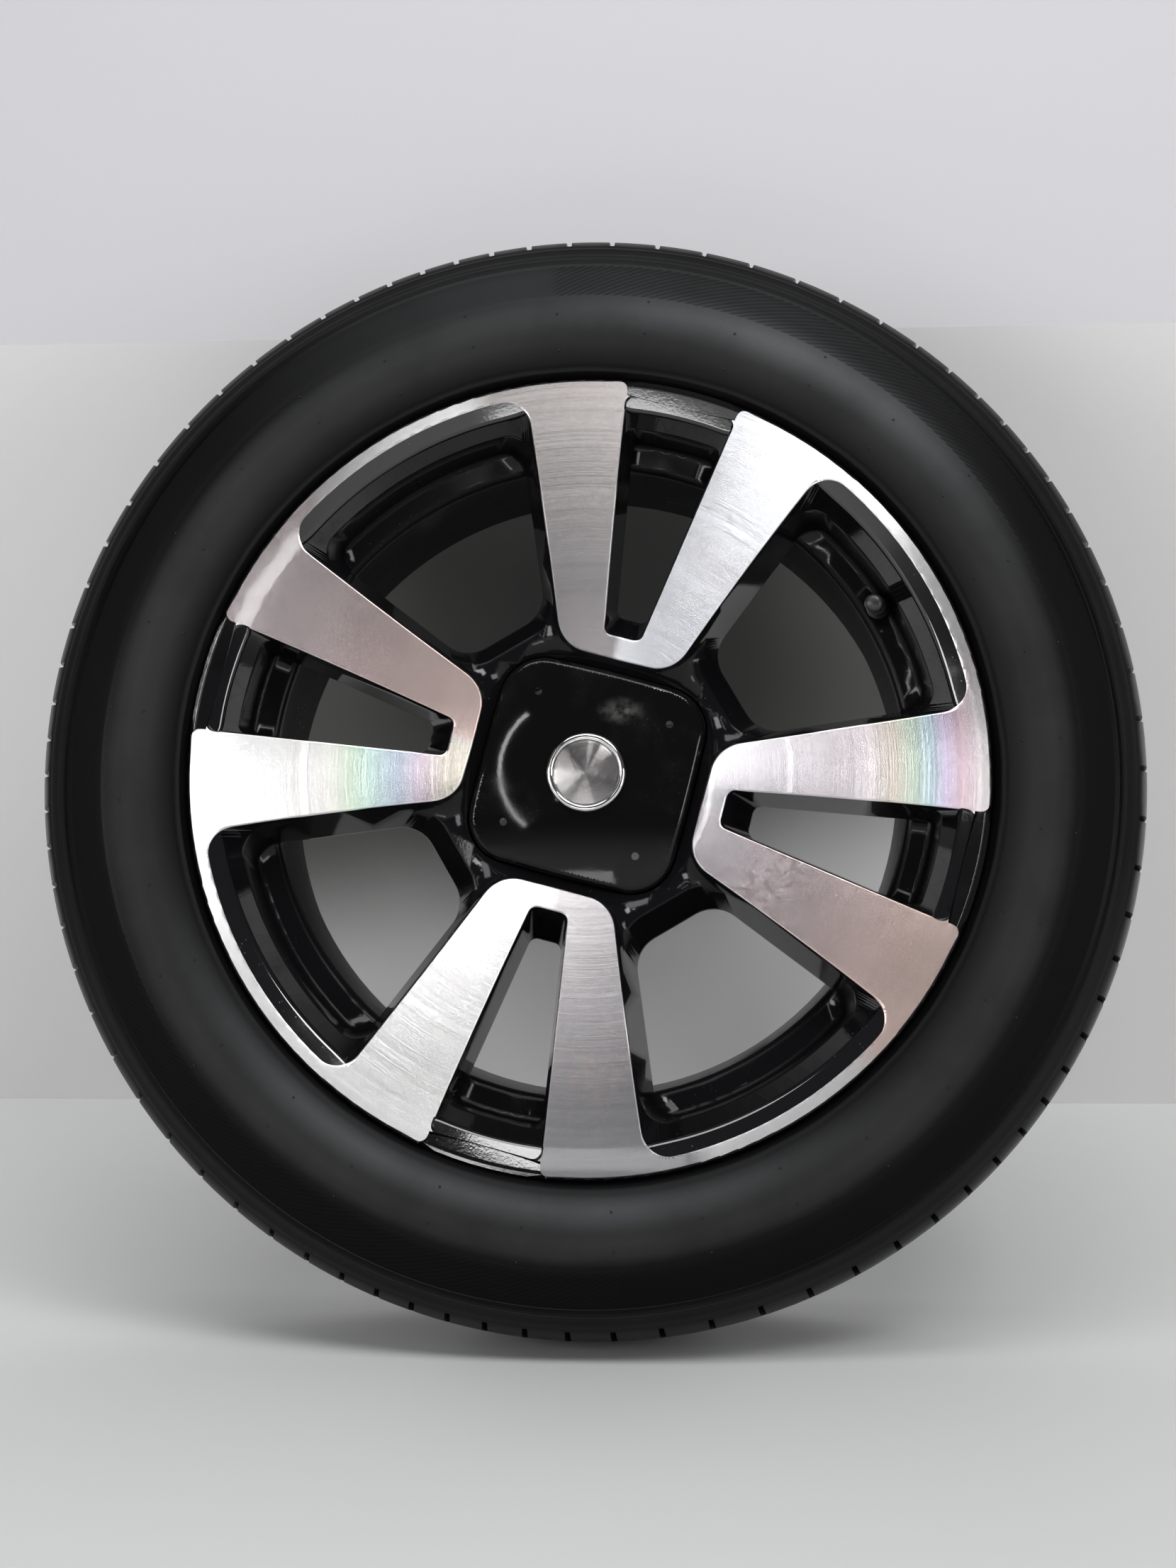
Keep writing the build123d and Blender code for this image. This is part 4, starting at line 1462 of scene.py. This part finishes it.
@dataclass(frozen=True)
class SoftLamp:
    """Rectangular lamp that points at the wheel's centre or at another place."""

    name: str
    place: Place
    size: Range
    power: float
    roll: float = 0.0
    aim: Place = (0.0, 0.0, 0.0)

    def build(self) -> None:
        """Puts the lamp in the scene, unseen by the camera."""
        light = bpy.data.lights.new(self.name, "AREA")
        light.shape = "RECTANGLE"
        light.size, light.size_y = self.size
        light.energy = self.power
        lamp = bpy.data.objects.new(self.name, light)
        turned = (Vector(self.aim) - Vector(self.place)).to_track_quat("-Z", "Y").to_matrix().to_4x4()
        rolled = Matrix.Rotation(math.radians(self.roll), 4, "Z")
        lamp.matrix_world = Matrix.Translation(self.place) @ turned @ rolled
        lamp.visible_camera = False
        bpy.context.scene.collection.objects.link(lamp)


@dataclass
class Studio:
    """Pale floor that rises to a leaning board, a pale wall above, soft lamps and a dim surround."""

    floor_colour: Colour = (0.64, 0.645, 0.645)
    board_colour: Colour = (0.78, 0.775, 0.775)
    wall_colour: Colour = (0.545, 0.54, 0.56)
    surround: Colour = (0.07, 0.07, 0.074)
    wall_foot_gap: float = 0.42
    wall_head_gap: float = 0.006
    cove_rise: float = 0.085
    cove_rows: int = 13
    floor_step: float = 1.0 * MM
    reach: float = 6.0
    lamps: tuple[SoftLamp, ...] = (
        SoftLamp("lamp_above", (-0.1, -1.25, 1.60), (1.7, 0.8), 20.0),
        SoftLamp("lamp_upper_right", (0.62, -1.35, 1.02), (0.5, 0.45), 9.0, 59.0),
        SoftLamp("lamp_left", (-1.2, -1.35, 0.05), (0.6, 0.5), 8.0),
        SoftLamp("lamp_floor", (-0.09, -0.94, -0.315), (0.3, 0.18), 1.0, aim=(-0.09, -0.94, 1.0)),
        SoftLamp("lamp_lip", (0.05, -1.25, 0.86), (0.15, 0.11), 0.5),
        SoftLamp("tube_front", (-0.22, -1.35, 0.09), (0.02, 0.2), 0.12),
        SoftLamp("lamp_right", (1.3, -1.25, -0.05), (0.5, 0.7), 7.0),
        SoftLamp("lamp_behind", (0.3, 2.2, 1.3), (1.6, 1.2), 9.0),
        SoftLamp("lamp_behind_left", (-1.5, 1.5, 0.1), (1.0, 0.8), 18.0),
        SoftLamp("lamp_behind_right", (1.5, 1.5, 0.1), (1.0, 0.8), 16.0),
    )
    tube_centre: Place = (-0.155, -1.35, 0.175)
    tube_radius: float = 0.41
    tube_spread: float = 46.0
    tube_pieces: int = 9
    tube_width: float = 0.022
    tube_power: float = 0.09

    def build(self) -> None:
        """Makes the stage and the light."""
        self._stage()
        for lamp in (*self.lamps, *self._tube_arc()):
            lamp.build()
        world = bpy.data.worlds.new("surround")
        world.use_nodes = True
        world.node_tree.nodes["Background"].inputs["Color"].default_value = rgb(self.surround)
        bpy.context.scene.world = world

    def _stage(self) -> None:
        """Makes the floor, whose rear rises as a parabola, the floor behind, the board and the wall."""
        low, high = CAD_BOX
        floor = StagePaint("floor_paint", self.floor_colour).build()
        board = StagePaint("board_paint", self.board_colour, shaded=True).build()
        wall = StagePaint("wall_paint", self.wall_colour, shaded=True).build()
        foot, head = high.y + self.wall_foot_gap, high.y + self.wall_head_gap
        crease, under = high.z + self.wall_head_gap, low.z - self.floor_step
        share = np.linspace(0.0, 1.0, self.cove_rows)
        run, lift = high.y + share * self.wall_foot_gap, low.z + share**2 * self.cove_rise
        self._sheet("stage_floor", [(-self.reach, low.z), *zip(run.tolist(), lift.tolist())], floor)
        self._sheet("stage_floor_behind", [(high.y, under), (self.reach, under)], floor)
        self._sheet("stage_board", [(foot, low.z + self.cove_rise), (head, crease)], board)
        self._sheet("stage_wall", [(head, crease), (head, self.reach)], wall)

    def _sheet(self, name: str, profile: Sequence[Range], paint: bpy.types.Material) -> None:
        """Makes a stage surface: a profile drawn out along X.

        Args:
            name: The sheet's name.
            profile: Places along Y and heights.
            paint: Its material.
        """
        points = [(side * self.reach, y, z) for y, z in profile for side in (-1, 1)]
        faces = [(i, i + 1, i + 3, i + 2) for i in range(0, len(points) - 2, 2)]
        mesh = bpy.data.meshes.new(name)
        mesh.from_pydata(points, [], faces)
        mesh.shade_smooth()
        mesh.materials.append(paint)
        sheet = bpy.data.objects.new(name, mesh)
        bpy.context.scene.collection.objects.link(sheet)
        sheet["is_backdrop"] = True

    def _tube_arc(self) -> list[SoftLamp]:
        """The bent tube at the left, whose reflection is the bright arc on the cap.

        Returns:
            Its straight pieces, set round a circle.
        """
        turns = np.radians(np.linspace(180.0 - self.tube_spread, 180.0 + self.tube_spread, self.tube_pieces))
        size = (self.tube_width, self.tube_radius * (turns[1] - turns[0]))
        pieces = []
        for number, turn in enumerate(turns):
            across = self.tube_centre[0] + self.tube_radius * math.cos(turn)
            rise = self.tube_centre[2] + self.tube_radius * math.sin(turn)
            place = (across, self.tube_centre[1], rise)
            roll = math.degrees(turn) - 180.0
            pieces.append(SoftLamp(f"tube_left_{number}", place, size, self.tube_power, roll))
        return pieces


@dataclass
class PhotoCamera:
    """Camera at the photograph's viewing angle."""

    image_height: int = 2212
    focal_pixels: float = 2300.0
    azimuth: float = 2.93
    elevation: float = -5.87
    distance: float = 0.896
    right_offset: float = -1.8 * MM
    down_offset: float = -7.9 * MM
    sensor: float = 36.0

    def build(self) -> None:
        """Places the camera so that the turned face's centre falls where the photograph has it."""
        turn, rise = math.radians(self.azimuth), math.radians(self.elevation)
        back = Vector((math.sin(turn) * math.cos(rise), -math.cos(turn) * math.cos(rise), math.sin(rise)))
        turned = (-back).to_track_quat("-Z", "Y").to_matrix()
        right, up = turned.col[0], turned.col[1]
        centre = Vector((0.0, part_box("alloy_wheel")[0].y, 0.0))
        data = bpy.data.cameras.new("photo_camera")
        data.sensor_width = self.sensor
        data.lens = self.focal_pixels * self.sensor / self.image_height
        camera = bpy.data.objects.new("photo_camera", data)
        place = centre + back * self.distance - right * self.right_offset + up * self.down_offset
        camera.matrix_world = Matrix.Translation(place) @ turned.to_4x4()
        bpy.context.scene.collection.objects.link(camera)
        bpy.context.scene.camera = camera


def write_sizes() -> None:
    """Works out the CAD box and the visual model's box as plain lists; nothing is written."""
    boxes = {"cad": CAD_BOX, "visual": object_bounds()}
    plain = {name: [list(corner) for corner in box] for name, box in boxes.items()}


def main() -> None:
    """Builds the wheel, its stage and its camera."""
    logging.basicConfig(level=logging.INFO, format="%(name)s %(message)s")
    bpy.context.scene.view_settings.view_transform = "Standard"
    PhotoCamera().build()
    Studio().build()
    AlloyWheel().build()
    Tyre().build()
    CentreCap().build()
    TyreValve().build()
    write_sizes()


if __name__ == "__main__":
    main()
